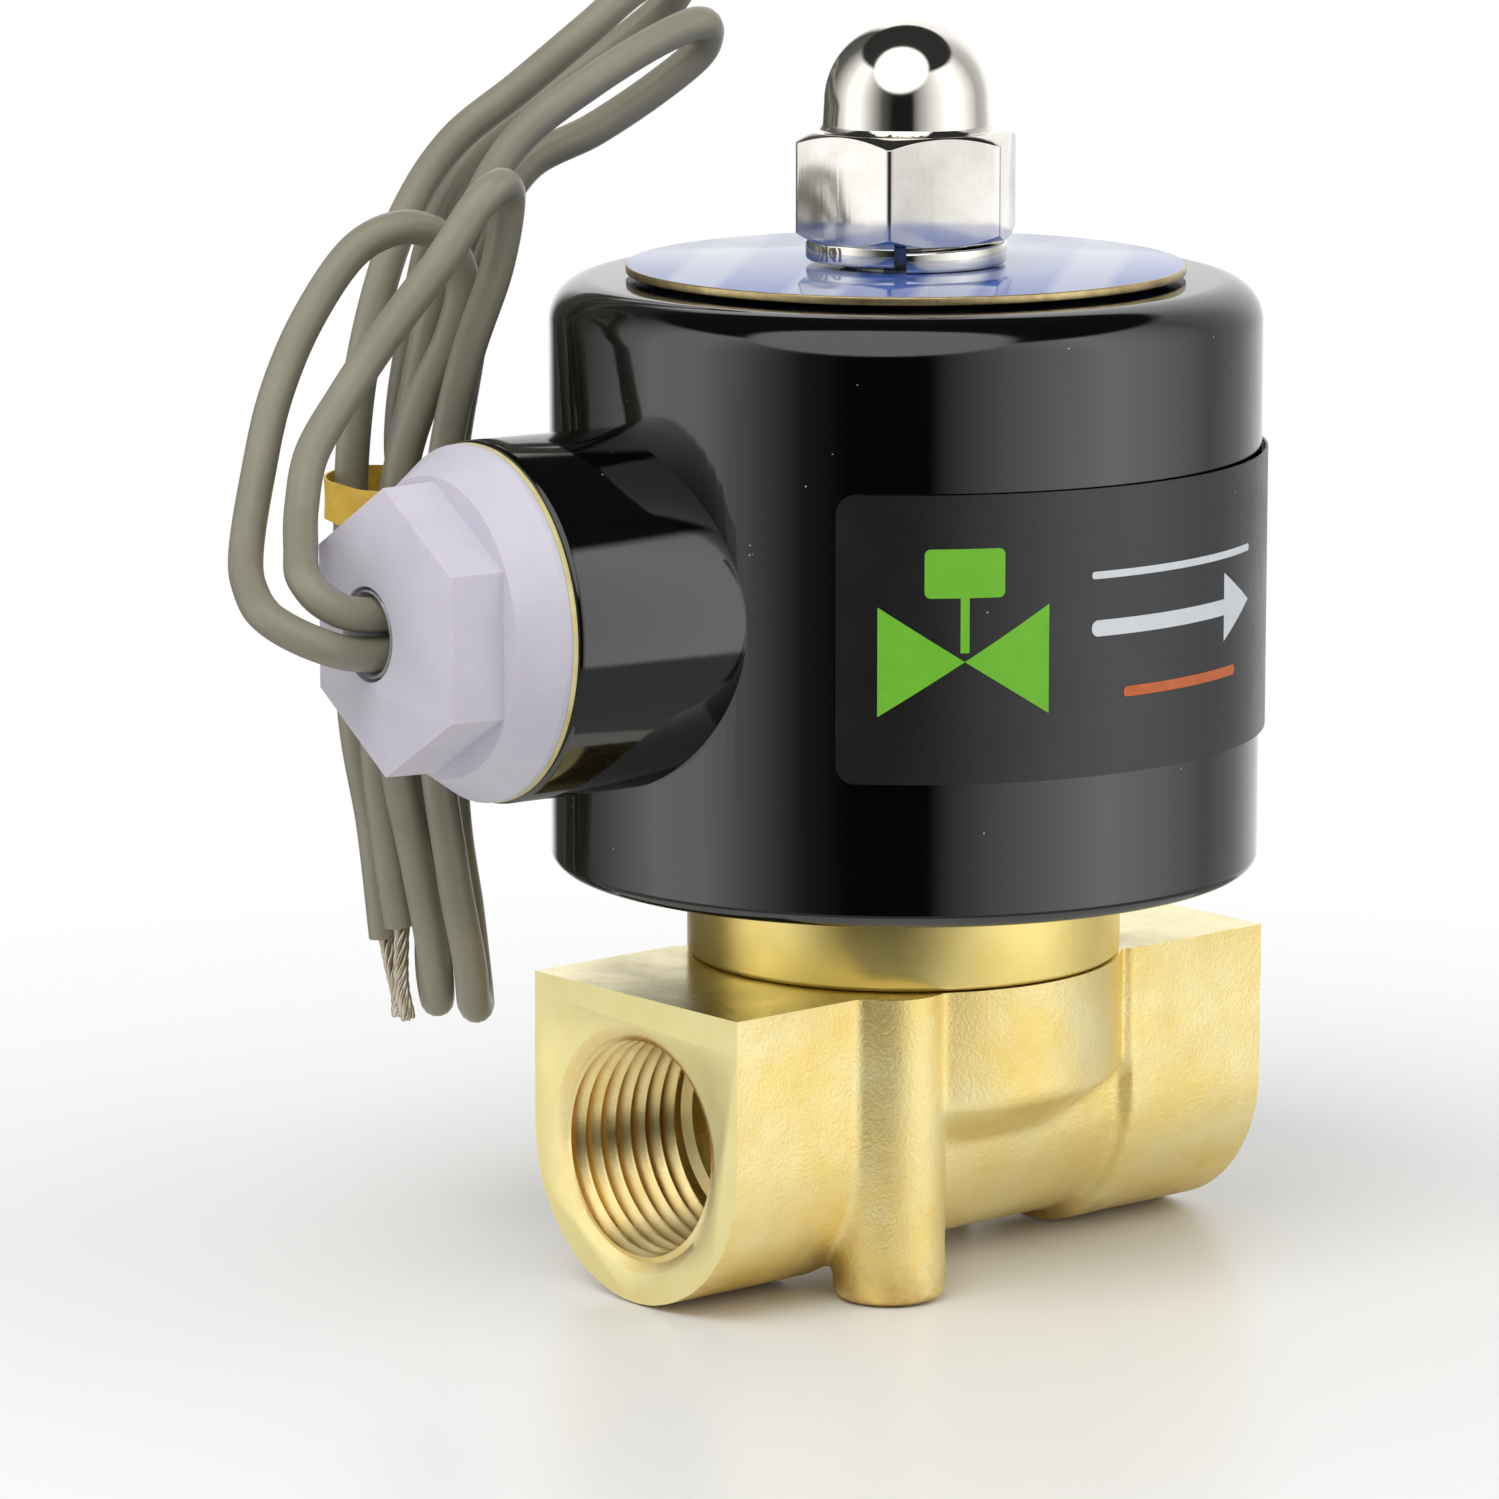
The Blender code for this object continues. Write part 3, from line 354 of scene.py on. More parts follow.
def combine(obj, others, operation, smooth_deg=35.0, solver="EXACT"):
    """Joins or cuts an object with others, and removes them."""
    for other in others:
        boolean = obj.modifiers.new(operation.lower(), "BOOLEAN")
        boolean.operation = operation
        boolean.solver = solver
        boolean.material_mode = "TRANSFER"
        boolean.object = other
    settle(obj, smooth_deg)
    for other in others:
        bpy.data.objects.remove(other, do_unlink=True)
    return obj


def stands_for(obj, body, slot, *nodes):
    """Puts a finished piece in place of its CAD nodes."""
    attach(obj, body)
    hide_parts(*nodes)
    print(obj.name, "-", len(obj.data.polygons) if obj.type == "MESH" else "curve", "faces")
    return obj


# %% [markdown]
# ## The two flying leads
# Each lead is one length of grey vinyl wire. It comes straight out of the plug, turns up, and is
# folded over at the top and at the bottom into a hank behind the boss. Stiff wire keeps such folds
# by itself. A curve with a round bevel is the natural way to make a wire: the route below is
# given in millimetres in the coil's frame, and a smooth curve is run through it.

# %% Routes
LEAD_DIAMETER = 2.4 * MM
LEAD_ROUTES = (
    (
        (-27.3, 2.2, 46.35), (-35, 2.2, 46.35), (-42.3, 2.2, 46.35), (-46.2, 2, 47.4),
        (-48.6, 4.2, 49), (-48.2, 7.5, 50.5), (-46.5, 11, 52.5), (-43.5, 14.5, 57), (-41, 16.3, 62),
        (-38, 17, 67), (-34.5, 16.6, 71.5), (-31, 16, 73), (-27.8, 16, 72), (-26, 16.2, 69),
        (-26.5, 17, 65), (-28.3, 18, 60.5), (-30, 18.2, 55), (-31, 17.8, 46), (-31, 17.8, 37),
        (-29, 18, 28), (-27.5, 18.2, 21), (-26.3, 19.8, 17.5), (-25.3, 22.2, 19.5), (-25, 23, 27),
        (-26, 24, 39), (-26, 24, 51), (-25.8, 25, 57), (-24.3, 26, 63), (-21.3, 27.5, 71),
        (-17, 29, 76), (-11, 28.5, 80), (-5.5, 27.6, 83.5), (-2.3, 26, 86.5), (-3.2, 23.8, 88.3),
        (-6.5, 23.5, 88), (-11, 23.6, 85), (-16, 24.5, 81.2), (-21, 25.5, 77.5), (-25, 25.2, 72.8),
        (-28, 24.4, 67), (-29.8, 24.2, 60), (-30, 25, 51), (-29.5, 25.6, 38), (-28.6, 24.6, 29.5),
        (-28, 24, 21.5),
    ),
    (
        (-27.3, 2.2, 49.05), (-35, 2.2, 49.05), (-42.3, 2.2, 49.05), (-45.2, 2.4, 50),
        (-46, 4.2, 51.6), (-44.8, 6.6, 53.3), (-43.3, 9, 55.5), (-41.4, 10.8, 58.8),
        (-38.5, 11.2, 62.5), (-35.3, 11, 66.5), (-31.5, 10.2, 71.2), (-28.8, 9.6, 75),
        (-26.6, 10, 76.2), (-25.4, 11.2, 74.6), (-25.8, 12.2, 70), (-27.6, 13.2, 64),
        (-28.8, 14.2, 57), (-29.4, 14.8, 48), (-29.5, 14.8, 38), (-28.2, 14.4, 27.5),
        (-27, 14.4, 21.5), (-26, 15.4, 18.2), (-24.7, 17, 17.6), (-23.9, 18.6, 19.2),
        (-24.2, 19.1, 24), (-25, 19.5, 31), (-25.5, 19.5, 43), (-25, 19.7, 54.5), (-23.4, 20, 62.5),
        (-21, 20.5, 71.5), (-17.8, 20.9, 76), (-12.5, 20.4, 78.3), (-7.5, 20, 81), (-4.4, 19, 83.6),
        (-5.3, 17.4, 85.6), (-9, 17, 84.8), (-15, 17, 82), (-20.5, 17.5, 78.4), (-23.8, 18, 73.6),
        (-25.8, 20, 67), (-27, 21.4, 59.5), (-28.8, 21.4, 52), (-30.2, 21, 44), (-30.4, 21, 36),
        (-29.4, 21, 28), (-28.6, 20.9, 23),
    ),
)
STRAND_ROUTES = (
    ((-28, 24, 21.6), (-27.7, 23.7, 19.4), (-27.3, 23.5, 17.4), (-27.3, 23.4, 15.8)),
    ((-28.5, 20.9, 23.1), (-28.8, 20.6, 20.4), (-28.8, 20.5, 18.4), (-28.4, 20.3, 16.3)),
)
LEAD_EXITS = ((-42.3, 2.2, 46.35), (-42.3, 2.2, 49.05))  # at the plug's face
print("route points:", [len(route) for route in LEAD_ROUTES])

# %% Smooth curves through the routes
def smooth_run(route, per_span=14):
    """Points of a Catmull-Rom curve through a route in millimetres, placed in metres."""
    points = [on_coil @ (Vector(p) * MM) for p in route]
    points = [points[0] * 2 - points[1]] + points + [points[-1] * 2 - points[-2]]
    run = []
    for a, b, c, d in zip(points, points[1:], points[2:], points[3:]):
        for i in range(per_span):
            t = i / per_span
            run.append(0.5 * (2 * b + (c - a) * t + (2 * a - 5 * b + 4 * c - d) * t * t
                              + (3 * b - a - 3 * c + d) * t ** 3))
    run.append(points[-2])
    return run


def cord_curve(name, runs, radius, look, roundness=5):
    """A curve object with one round-bevelled spline for each run of points."""
    curve = bpy.data.curves.new(name, "CURVE")
    curve.dimensions = "3D"
    curve.bevel_depth = radius
    curve.bevel_resolution = roundness
    curve.use_fill_caps = True
    for run in runs:
        spline = curve.splines.new("POLY")
        spline.points.add(len(run) - 1)
        for target, point in zip(spline.points, run):
            target.co = (*point, 1.0)
    curve.materials.append(look)
    made = bpy.data.objects.new(name, curve)
    bpy.context.scene.collection.objects.link(made)
    return made


# %% [markdown]
# The ends are stripped, and the bare wire is a rope of seven tinned strands. A rope is a loop:
# one strand in the middle and six that wind round it.

# %% Rope of strands
def rope(run, strand_radius, turns):
    """Seven strands along a run: one straight, six wound round it."""
    strands = [run]
    for k in range(6):
        wound = []
        for i, point in enumerate(run):
            ahead = run[min(i + 1, len(run) - 1)]
            behind = run[max(i - 1, 0)]
            along = (ahead - behind).normalized()
            side = along.orthogonal().normalized()
            angle = math.tau * (k / 6 + turns * i / len(run))
            offset = Matrix.Rotation(angle, 4, along) @ (side * strand_radius * 2)
            wound.append(point + offset)
        strands.append(wound)
    return strands


grey_vinyl = finish("grey_vinyl", (0.285, 0.265, 0.198), (0.235, 0.220, 0.165), rough=(0.32, 0.45),
                    tone_scale=120.0, grain_scale=1500.0, bump=0.004, Coat_Weight=0.15,
                    Coat_Roughness=0.3)
tinned = finish("tinned_strands", (0.80, 0.76, 0.66), (0.50, 0.40, 0.26), 1.0, (0.25, 0.45), 900.0)

for number, (route, strand_route, exit_mm) in enumerate(zip(LEAD_ROUTES, STRAND_ROUTES, LEAD_EXITS), 1):
    run = smooth_run(route)
    lead = cord_curve(f"flying_lead_{number}", [run], LEAD_DIAMETER / 2, grey_vinyl)
    strands = rope(smooth_run(strand_route), 0.19 * MM, 1.2)
    bare_end = cord_curve(f"bare_end_{number}", strands, 0.19 * MM, tinned, 2)
    stands_for(lead, "coil", "grey_vinyl", f"lead_wire_{number}")
    stands_for(bare_end, "coil", "tinned_strands", f"lead_strands_{number}")
    lead_exit = on_coil @ (Vector(exit_mm) * MM)
    inside = (lead_exit - run[0]).length

# %% [markdown]
# ## The tie
# A scrap of yellow tape holds the hank. It is a flat band, so it starts as an oval ring of edges,
# is extruded upwards, and gets its thickness from Solidify. Each point is moved a little, because
# tape never lies quite flat.

# %% Tie
tie_low, tie_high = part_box("bundle_tie")
tie_tape = finish("yellow_tie", (0.80, 0.52, 0.05), (0.62, 0.38, 0.03), rough=(0.4, 0.6),
                  tone_scale=400.0, grain_scale=1500.0, bump=0.05)
TIE_REACH = (5.75 * MM, 7.55 * MM, 1)  # half its width and half its depth
TIE_CENTRE = (-27.85 * MM, 19.9 * MM, tie_low.z)
bm = bmesh.new()
bmesh.ops.create_circle(bm, segments=64, radius=1.0)
bmesh.ops.scale(bm, vec=TIE_REACH, verts=bm.verts)
raised = bmesh.ops.extrude_edge_only(bm, edges=bm.edges)
upper = [item for item in raised["geom"] if isinstance(item, bmesh.types.BMVert)]
bmesh.ops.translate(bm, verts=upper, vec=(0, 0, tie_high.z - tie_low.z))
bmesh.ops.translate(bm, verts=bm.verts, vec=TIE_CENTRE)
uprights = [e for e in bm.edges if abs(e.verts[0].co.z - e.verts[1].co.z) > MM]
bmesh.ops.subdivide_edges(bm, edges=uprights, cuts=5, use_grid_fill=True)
for vert in bm.verts:
    ripple = noise.noise_vector(vert.co * 350.0) * 0.12 * MM
    vert.co += Vector((ripple.x, ripple.y, ripple.z))
tie = as_object(bm, "hank_tie", on_coil, tie_tape, 60)
tape_wall = tie.modifiers.new("tape", "SOLIDIFY")
tape_wall.thickness = 0.18 * MM
stands_for(settle(tie, 60), "coil", "yellow_tie", "bundle_tie")

# %% [markdown]
# ## The coil's can
# A drawn steel can, stove enamelled gloss black, with a short tube for the leads let into its
# side. Both are turned shapes, so both are spun and then joined. Enamel hides the seam, but its
# surface is never perfect: a faint orange peel shows in the reflections, and dust settles on it.

# %% Can
can_low, can_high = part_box("coil_housing")
CAN_RADIUS = (can_high.y - can_low.y) / 2
CAN_WALL = 1.2 * MM
TOP_FILLET = 3.0 * MM
BOSS_RADIUS = 12.3 * MM
BOSS_BORE = 10.9 * MM
BOSS_END = 34.65 * MM
CAN_HOLE = 7.4 * MM

black_enamel = finish("black_enamel", (0.0010, 0.0010, 0.0011), (0.0005, 0.0005, 0.0006),
                      rough=(0.05, 0.10), tone_scale=90.0, grain_scale=1200.0, bump=0.0012,
                      dust=(800.0, 0.045), IOR=1.82)
inner = CAN_RADIUS - CAN_WALL
profile = [(22.0 * MM, can_low.z)]
profile += arc(CAN_RADIUS - 1.0 * MM, can_low.z + 1.0 * MM, 1.0 * MM, -90, 0, 8)
profile += arc(CAN_RADIUS - TOP_FILLET, can_high.z - TOP_FILLET, TOP_FILLET, 0, 90, 16)
profile += [(CAN_HOLE, can_high.z), (CAN_HOLE, can_high.z - CAN_WALL)]
profile += arc(inner - 1.8 * MM, can_high.z - CAN_WALL - 1.8 * MM, 1.8 * MM, 90, 0, 6)
profile += [(inner, can_low.z + 1.0 * MM), (22.0 * MM, can_low.z + 1.0 * MM)]
can = as_object(spun(profile, 192), "coil_can", on_coil, black_enamel, 30)

tube_profile = [(0.0, inner - 3.0 * MM), (BOSS_RADIUS, inner - 3.0 * MM)]
tube_profile += arc(BOSS_RADIUS - 0.45 * MM, BOSS_END - 0.45 * MM, 0.45 * MM, 0, 90, 5)
tube_profile += [(0.0, BOSS_END)]
side_tube = as_object(spun(tube_profile, 144), "side_tube", on_boss, black_enamel)
clear_inside = as_object(spun([(0.0, can_low.z + 1.5 * MM), (inner, can_low.z + 1.5 * MM),
                               (inner, can_high.z - 3.2 * MM), (0.0, can_high.z - 3.2 * MM)], 192),
                         "clear_inside", on_coil, black_enamel)
side_bore = as_object(spun([(0.0, 15.0 * MM), (BOSS_BORE, 15.0 * MM), (BOSS_BORE, 40.0 * MM),
                            (0.0, 40.0 * MM)], 144), "side_bore", on_boss, black_enamel)
combine(side_tube, [clear_inside], "DIFFERENCE")
combine(can, [side_tube], "UNION", 30)
combine(can, [side_bore], "DIFFERENCE", 30)
stands_for(can, "coil", "black_enamel", "coil_housing")

# %% [markdown]
# ## Nameplate disc
# A thin printed foil disc lies on the can under the washer. Only its bands are kept: pale silver
# stripes run across the blue. Its cut edge is bare brass-coloured foil, so that edge gets a
# second material. A small roll on the upper edge catches the light as the real cut does.

# %% Disc
disc_low, disc_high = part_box("nameplate_disc")
DISC_RADIUS = (disc_high.x - disc_low.x) / 2

blue_foil = finish("blue_foil", (0.085, 0.150, 0.42), (0.045, 0.095, 0.34), 0.0, (0.05, 0.10),
                   90.0, 1500.0, 0.002)
tree, base, plain_blue = base_of(blue_foil)
turned = add_node(tree, "ShaderNodeMapping")
turned.inputs["Rotation"].default_value = (0, 0, math.radians(48))
turned.inputs["Location"].default_value = (-STEM_X * 0.67, STEM_X * 0.74, 0)
stripes = add_node(tree, "ShaderNodeTexWave", wave_type="BANDS", bands_direction="X")
stripes.inputs["Scale"].default_value = 36.0
stripes.inputs["Distortion"].default_value = 0.0
wire(tree, object_place(tree), turned.inputs["Vector"])
wire(tree, turned.outputs["Vector"], stripes.inputs["Vector"])
bands = ranged(tree, stripes.outputs["Fac"], 0.45, 0.75, 0.0, 0.60)
wire(tree, mixed(tree, bands, plain_blue, (0.42, 0.45, 0.56)), base)

cut_foil = finish("cut_foil", (0.72, 0.58, 0.30), (0.45, 0.34, 0.16), 0.9, (0.25, 0.4), 600.0)
roll = 0.12 * MM
profile = [(4.6 * MM, disc_low.z), (DISC_RADIUS - roll, disc_low.z)]
profile += arc(DISC_RADIUS - roll, disc_low.z + roll, roll, -90, 0, 3)[1:]
profile += arc(DISC_RADIUS - roll, disc_high.z - roll, roll, 0, 90, 3)
profile += [(4.6 * MM, disc_high.z)]
disc = as_object(spun(profile, 192), "printed_disc", on_coil, blue_foil, 50)
disc.data.materials.append(cut_foil)
for face in disc.data.polygons:
    away = Vector((face.center.x - STEM_X, face.center.y)).length
    if away > DISC_RADIUS - roll * 0.8:
        face.material_index = 1
stands_for(disc, "coil", "blue_foil", "nameplate_disc")

# %% [markdown]
# ## Split washer
# A spring washer is one turn of square wire, so it is spun with a small rise and left open. The
# two open ends are then filled. The split shows under the nut's middle corner.

# %% Washer
washer_low, washer_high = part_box("spring_washer")
nickel = finish("nickel_plate", (0.93, 0.90, 0.83), (0.84, 0.81, 0.74), 1.0, (0.04, 0.10), 150.0,
                700.0, 0.003)
WASHER_RADIUS = 7.0 * MM
WASHER_BORE = 4.3 * MM
SPLIT_DEG = 7.0
SPLIT_AT_DEG = 225.0
thick = washer_high.z - washer_low.z
bottom = disc_high.z + 0.03 * MM
edge = 0.28 * MM
profile = [(WASHER_BORE, bottom), (WASHER_RADIUS - edge, bottom)]
profile += arc(WASHER_RADIUS - edge, bottom + edge, edge, -90, 0, 4)[1:]
profile += arc(WASHER_RADIUS - edge, bottom + thick - edge, edge, 0, 90, 4)
profile += [(WASHER_BORE, bottom + thick)]
bm = bmesh.new()
verts = [bm.verts.new((r, 0.0, z)) for r, z in profile]
wire_edges = [bm.edges.new(pair) for pair in zip(verts, verts[1:] + verts[:1])]
STEPS = 120
bmesh.ops.spin(bm, geom=verts + wire_edges, cent=(0, 0, 0), axis=(0, 0, 1),
               dvec=(0, 0, 0.35 * MM / STEPS), angle=math.radians(360 - SPLIT_DEG), steps=STEPS,
               use_merge=False, use_duplicate=False)
bmesh.ops.holes_fill(bm, edges=[e for e in bm.edges if e.is_boundary], sides=0)
split_turn = Matrix.Rotation(math.radians(SPLIT_AT_DEG + SPLIT_DEG / 2), 4, "Z")
washer = as_object(bm, "split_washer", on_stem @ split_turn, nickel)
stands_for(washer, "valve", "nickel_plate", "spring_washer")

# %% [markdown]
# ## Cap nut
# Hexagon bar, turned at both ends: a cone trims the corners, which leaves the curved chamfer lines
# on every flat, and a dome closes the thread. The bar is a six-sided circle that is extruded, and
# the turned shapes trim it and join it. The edges are softened last, as plating softens them.

# %% Nut
NUT_FLATS = 14.2 * MM
NUT_HEX_TOP = 79.3 * MM
NUT_TURN_DEG = 10.0  # where the tightened nut happened to stop
DOME_RADIUS = 5.75 * MM
corner = NUT_FLATS / math.sqrt(3)
nut_bottom = bottom + thick + 0.30 * MM
bm = hexagon_bar(corner, nut_bottom, NUT_HEX_TOP + 0.5 * MM)
bmesh.ops.bevel(bm, geom=[e for e in bm.edges if abs(e.verts[0].co.z - e.verts[1].co.z) > MM],
                offset=0.22 * MM, offset_type="OFFSET", segments=3, profile=0.5, affect="EDGES",
                material=-1)
nut_turn = Matrix.Rotation(math.radians(NUT_TURN_DEG), 4, "Z")
nut = as_object(bm, "cap_nut_domed", on_stem @ nut_turn, nickel)
flat = NUT_FLATS / 2
trim = as_object(spun([(0.0, nut_bottom - 0.01 * MM), (flat + 0.1 * MM, nut_bottom - 0.01 * MM),
                       (corner + 0.3 * MM, nut_bottom + 0.8 * MM),
                       (corner + 0.3 * MM, NUT_HEX_TOP - 0.85 * MM),
                       (flat - 0.15 * MM, NUT_HEX_TOP + 0.1 * MM), (0.0, NUT_HEX_TOP + 0.1 * MM)], 144),
                 "trim", on_stem, nickel)
dome_profile = [(0.0, NUT_HEX_TOP - 1.0 * MM), (DOME_RADIUS + 0.35 * MM, NUT_HEX_TOP - 1.0 * MM),
                (DOME_RADIUS + 0.35 * MM, NUT_HEX_TOP + 0.1 * MM),
                (DOME_RADIUS + 0.08 * MM, NUT_HEX_TOP + 0.45 * MM)]
dome_profile += arc(0.0, nut_high.z - DOME_RADIUS, DOME_RADIUS, 0, 90, 20)[:-1]
dome_profile += [(0.0, nut_high.z)]
dome = as_object(spun(dome_profile, 144), "dome", on_stem, nickel)
stud_bore = as_object(spun([(0.0, nut_bottom - MM), (4.3 * MM, nut_bottom - MM), (4.3 * MM, 82.0 * MM),
                            (0.0, 83.0 * MM)], 64), "stud_bore", on_stem, nickel)
combine(nut, [trim], "INTERSECT")
combine(nut, [dome], "UNION")
combine(nut, [stud_bore], "DIFFERENCE", 24)
soften = nut.modifiers.new("soften", "BEVEL")
soften.width = 0.10 * MM
soften.segments = 2
soften.limit_method = "ANGLE"
soften.angle_limit = math.radians(24)
soften.harden_normals = False
settle(nut, 50)
drawn_nickel = finish("drawn_nickel", (0.96, 0.94, 0.90), (0.70, 0.65, 0.58), 1.0, (0.10, 0.22), 160.0,
                      tool_marks=(2400.0, 2400.0, 70.0), bump=0.006)
nut.data.materials.append(drawn_nickel)
for face in nut.data.polygons:
    if abs(face.normal.z) < 0.05 and nut_bottom < face.center.z < NUT_HEX_TOP - 0.3 * MM:
        face.material_index = 1
stands_for(nut, "valve", "nickel_plate", "cap_nut")

# %% [markdown]
# ## Bonnet ring
# A turned brass ring between the body and the coil. It is plain and bright, with fine lathe marks
# round it, so its finish uses the tool marks group with a pattern stretched round the ring.

# %% Bonnet ring
body_low, body_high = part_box("valve_body")
ring_low, ring_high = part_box("bonnet_ring")
turned_brass = finish("turned_brass", (0.99, 0.82, 0.32), (0.94, 0.73, 0.24), 1.0, (0.32, 0.44), 150.0,
                      tool_marks=(90.0, 90.0, 5200.0), bump=0.006)
RING_RADIUS = (ring_high.x - ring_low.x) / 2
edge = 0.35 * MM
foot = body_high.z + 0.04 * MM
profile = [(7.0 * MM, 21.0 * MM), (9.9 * MM, 21.0 * MM), (9.9 * MM, foot), (RING_RADIUS - edge, foot)]
profile += arc(RING_RADIUS - edge, foot + edge, edge, -90, 0, 4)[1:]
profile += arc(RING_RADIUS - edge, can_low.z - 0.02 * MM - edge, edge, 0, 90, 4)
profile += [(7.0 * MM, can_low.z - 0.02 * MM)]
bonnet = as_object(spun(profile, 160), "bonnet_turned", on_stem, turned_brass)
stands_for(bonnet, "valve", "turned_brass", "bonnet_ring")

# %% [markdown]
# ## The forged body, first as a blank
# The real body is forged hot between dies and only machined where it has to seal. So it is made
# that way here. First comes a blank: simple closed shapes that overlap. A voxel remesh melts them
# into one skin, smoothing gives the soft inner corners of a forging, and a little noise gives the
# skin its unevenness. The blank is larger than the finished body at the top and at both ends.

# %% Blank
LENGTH = body_high.x - body_low.x
HALF = LENGTH / 2
TOP = body_high.z
PORT_Z = 10.9 * MM
BLOCK_HALF = 10.8 * MM
WAIST_HALF = 9.8 * MM
WAIST_END = 11.9 * MM
BODY_BOSS = 15.2 * MM
BOSS_UNDER = 13.2 * MM
PILLARS = ((-9.8, -9.6), (9.8, 9.6))
PILLAR_RADIUS = 3.9 * MM
SPARE = 1.6 * MM

forged_brass = finish("forged_brass", (0.99, 0.87, 0.47), (0.93, 0.70, 0.22), 1.0, (0.34, 0.50), 120.0,
                      4200.0, 0.055)
# Painted shade: the skin is darkened to brown towards the bottom, in patches, where it curves under towards
# the floor.
tree, base, unshaded_brass = base_of(forged_brass)
place = object_place(tree)
low_down = ranged(tree, axes_of(tree, place)["Z"], 3.5 * MM, 0.2 * MM)
painted_floor_shade = maths(tree, "MULTIPLY", low_down, use_group(tree, drift, place, Scale=420.0)["Mask"])
wire(tree, mixed(tree, painted_floor_shade, unshaded_brass, (0.56, 0.36, 0.13)), base)


def u_bar(bm, half_width, x_from, x_to, top):
    """A bar along X with a flat top and a round underside, made by extruding its end."""
    rim = [Vector((x_from, half_width, top))]
    rim += [Vector((x_from, y, z)) for y, z in arc(0.0, PORT_Z, half_width, 0, -180, 32)]
    rim.append(Vector((x_from, -half_width, top)))
    end = bm.faces.new([bm.verts.new(point) for point in rim])
    pulled = bmesh.ops.extrude_face_region(bm, geom=[end])
    far = [item for item in pulled["geom"] if isinstance(item, bmesh.types.BMVert)]
    bmesh.ops.translate(bm, verts=far, vec=(x_to - x_from, 0, 0))


def add_spun(bm, profile, x, y, steps=48):
    """Spins a profile into a bmesh, and moves it to (x, y)."""
    verts = [bm.verts.new((r, 0.0, z)) for r, z in profile]
    edges = [bm.edges.new(pair) for pair in zip(verts, verts[1:])]
    old = set(bm.verts) - set(verts)
    bmesh.ops.spin(bm, geom=verts + edges, cent=(0, 0, 0), axis=(0, 0, 1), dvec=(0, 0, 0),
                   angle=math.tau, steps=steps, use_merge=True, use_duplicate=False)
    bmesh.ops.translate(bm, verts=[v for v in bm.verts if v not in old], vec=(x, y, 0))


bm = bmesh.new()
u_bar(bm, WAIST_HALF, -WAIST_END - 2 * MM, WAIST_END + 2 * MM, TOP + SPARE)
u_bar(bm, BLOCK_HALF, -HALF - SPARE, -WAIST_END, TOP + SPARE)
u_bar(bm, BLOCK_HALF, WAIST_END, HALF + SPARE, TOP + SPARE)
add_spun(bm, [(0.0, BOSS_UNDER - 2.9 * MM), (BODY_BOSS - 4.4 * MM, BOSS_UNDER - 2.9 * MM),
              (BODY_BOSS - 0.2 * MM, BOSS_UNDER), (BODY_BOSS + 0.1 * MM, BOSS_UNDER + 0.4 * MM),
              (BODY_BOSS + 0.1 * MM, TOP + SPARE), (0.0, TOP + SPARE)], 0.0, 0.0, 128)
for x, y in PILLARS:
    foot_profile = [(0.0, 0.0)] + arc(PILLAR_RADIUS - 0.7 * MM, 0.7 * MM, 0.7 * MM, -90, 0, 4)
    foot_profile += [(PILLAR_RADIUS, TOP + SPARE), (0.0, TOP + SPARE)]
    add_spun(bm, foot_profile, x * MM, y * MM)
body = as_object(bm, "brass_body", None, forged_brass)
melt = body.modifiers.new("melt", "REMESH")
melt.mode = "VOXEL"
melt.voxel_size = 0.30 * MM
soften = body.modifiers.new("soften", "SMOOTH")
soften.factor = 0.5
soften.iterations = 14
settle(body)
print("blank:", len(body.data.polygons), "faces")

# %% [markdown]
# ## Forging skin
# Every point moves in or out by a few hundredths of a millimetre, following noise of two scales.
# That is too little to see as shape, but it breaks up the reflections, and it makes the machined
# edges slightly ragged, as they are where a cutter leaves a rough forging.

# %% Skin
bm = bmesh.new()
bm.from_mesh(body.data)
for vert in bm.verts:
    if vert.co.z > 0.4 * MM:
        coarse = noise.noise(vert.co * 420.0) * 0.040 * MM
        fine = noise.noise(vert.co * 1500.0) * 0.014 * MM
        vert.co += vert.normal * (coarse + fine)

# %% [markdown]
# ## Machining
# Now the cutters. Three flat cuts make the sealing top and the two end faces: bisecting throws away
# what lies outside, and the open edge is filled flat. The ports, the valve chamber and the channels
# are turned shapes that are cut away. The port's profile has a real ridge for every thread.

# %% Flat cuts
milled_brass = finish("milled_brass", (0.95, 0.86, 0.50), (0.86, 0.74, 0.36), 1.0, (0.20, 0.34), 170.0,
                      tool_marks=(2600.0, 120.0, 120.0), bump=0.004)
faced_brass = finish("faced_brass", (0.98, 0.88, 0.44), (0.94, 0.82, 0.37), 1.0, (0.30, 0.44), 260.0,
                     tool_marks=(300.0, 1300.0, 300.0), bump=0.010)
for point, away in (((0, 0, TOP), (0, 0, 1)), ((-HALF, 0, 0), (-1, 0, 0)), ((HALF, 0, 0), (1, 0, 0))):
    bmesh.ops.bisect_plane(bm, geom=bm.verts[:] + bm.edges[:] + bm.faces[:], dist=1e-7,
                           plane_co=point, plane_no=away, clear_outer=True)
    filled = bmesh.ops.edgeloop_fill(bm, edges=[e for e in bm.edges if e.is_boundary])
    for face in filled["faces"]:
        face.material_index = 1 if away[2] else 2
        if face.normal.dot(Vector(away)) < 0:
            face.normal_flip()
bm.to_mesh(body.data)
bm.free()
body.data.materials.append(milled_brass)
body.data.materials.append(faced_brass)
print("after the flat cuts:", len(body.data.polygons), "faces")

# %% Ports
THREAD_PITCH = 1.337 * MM  # 19 threads to the inch
THREAD_DEPTH = 0.95 * MM
PORT_MOUTH = 8.6 * MM
PORT_BORE = 7.35 * MM
THREAD_FROM = 0.35 * MM  # just behind the chamfer
RIDGES = 7
THREAD_TO = THREAD_FROM + RIDGES * THREAD_PITCH
RELIEF = 6.6 * MM
RELIEF_DEPTH = 14.0 * MM

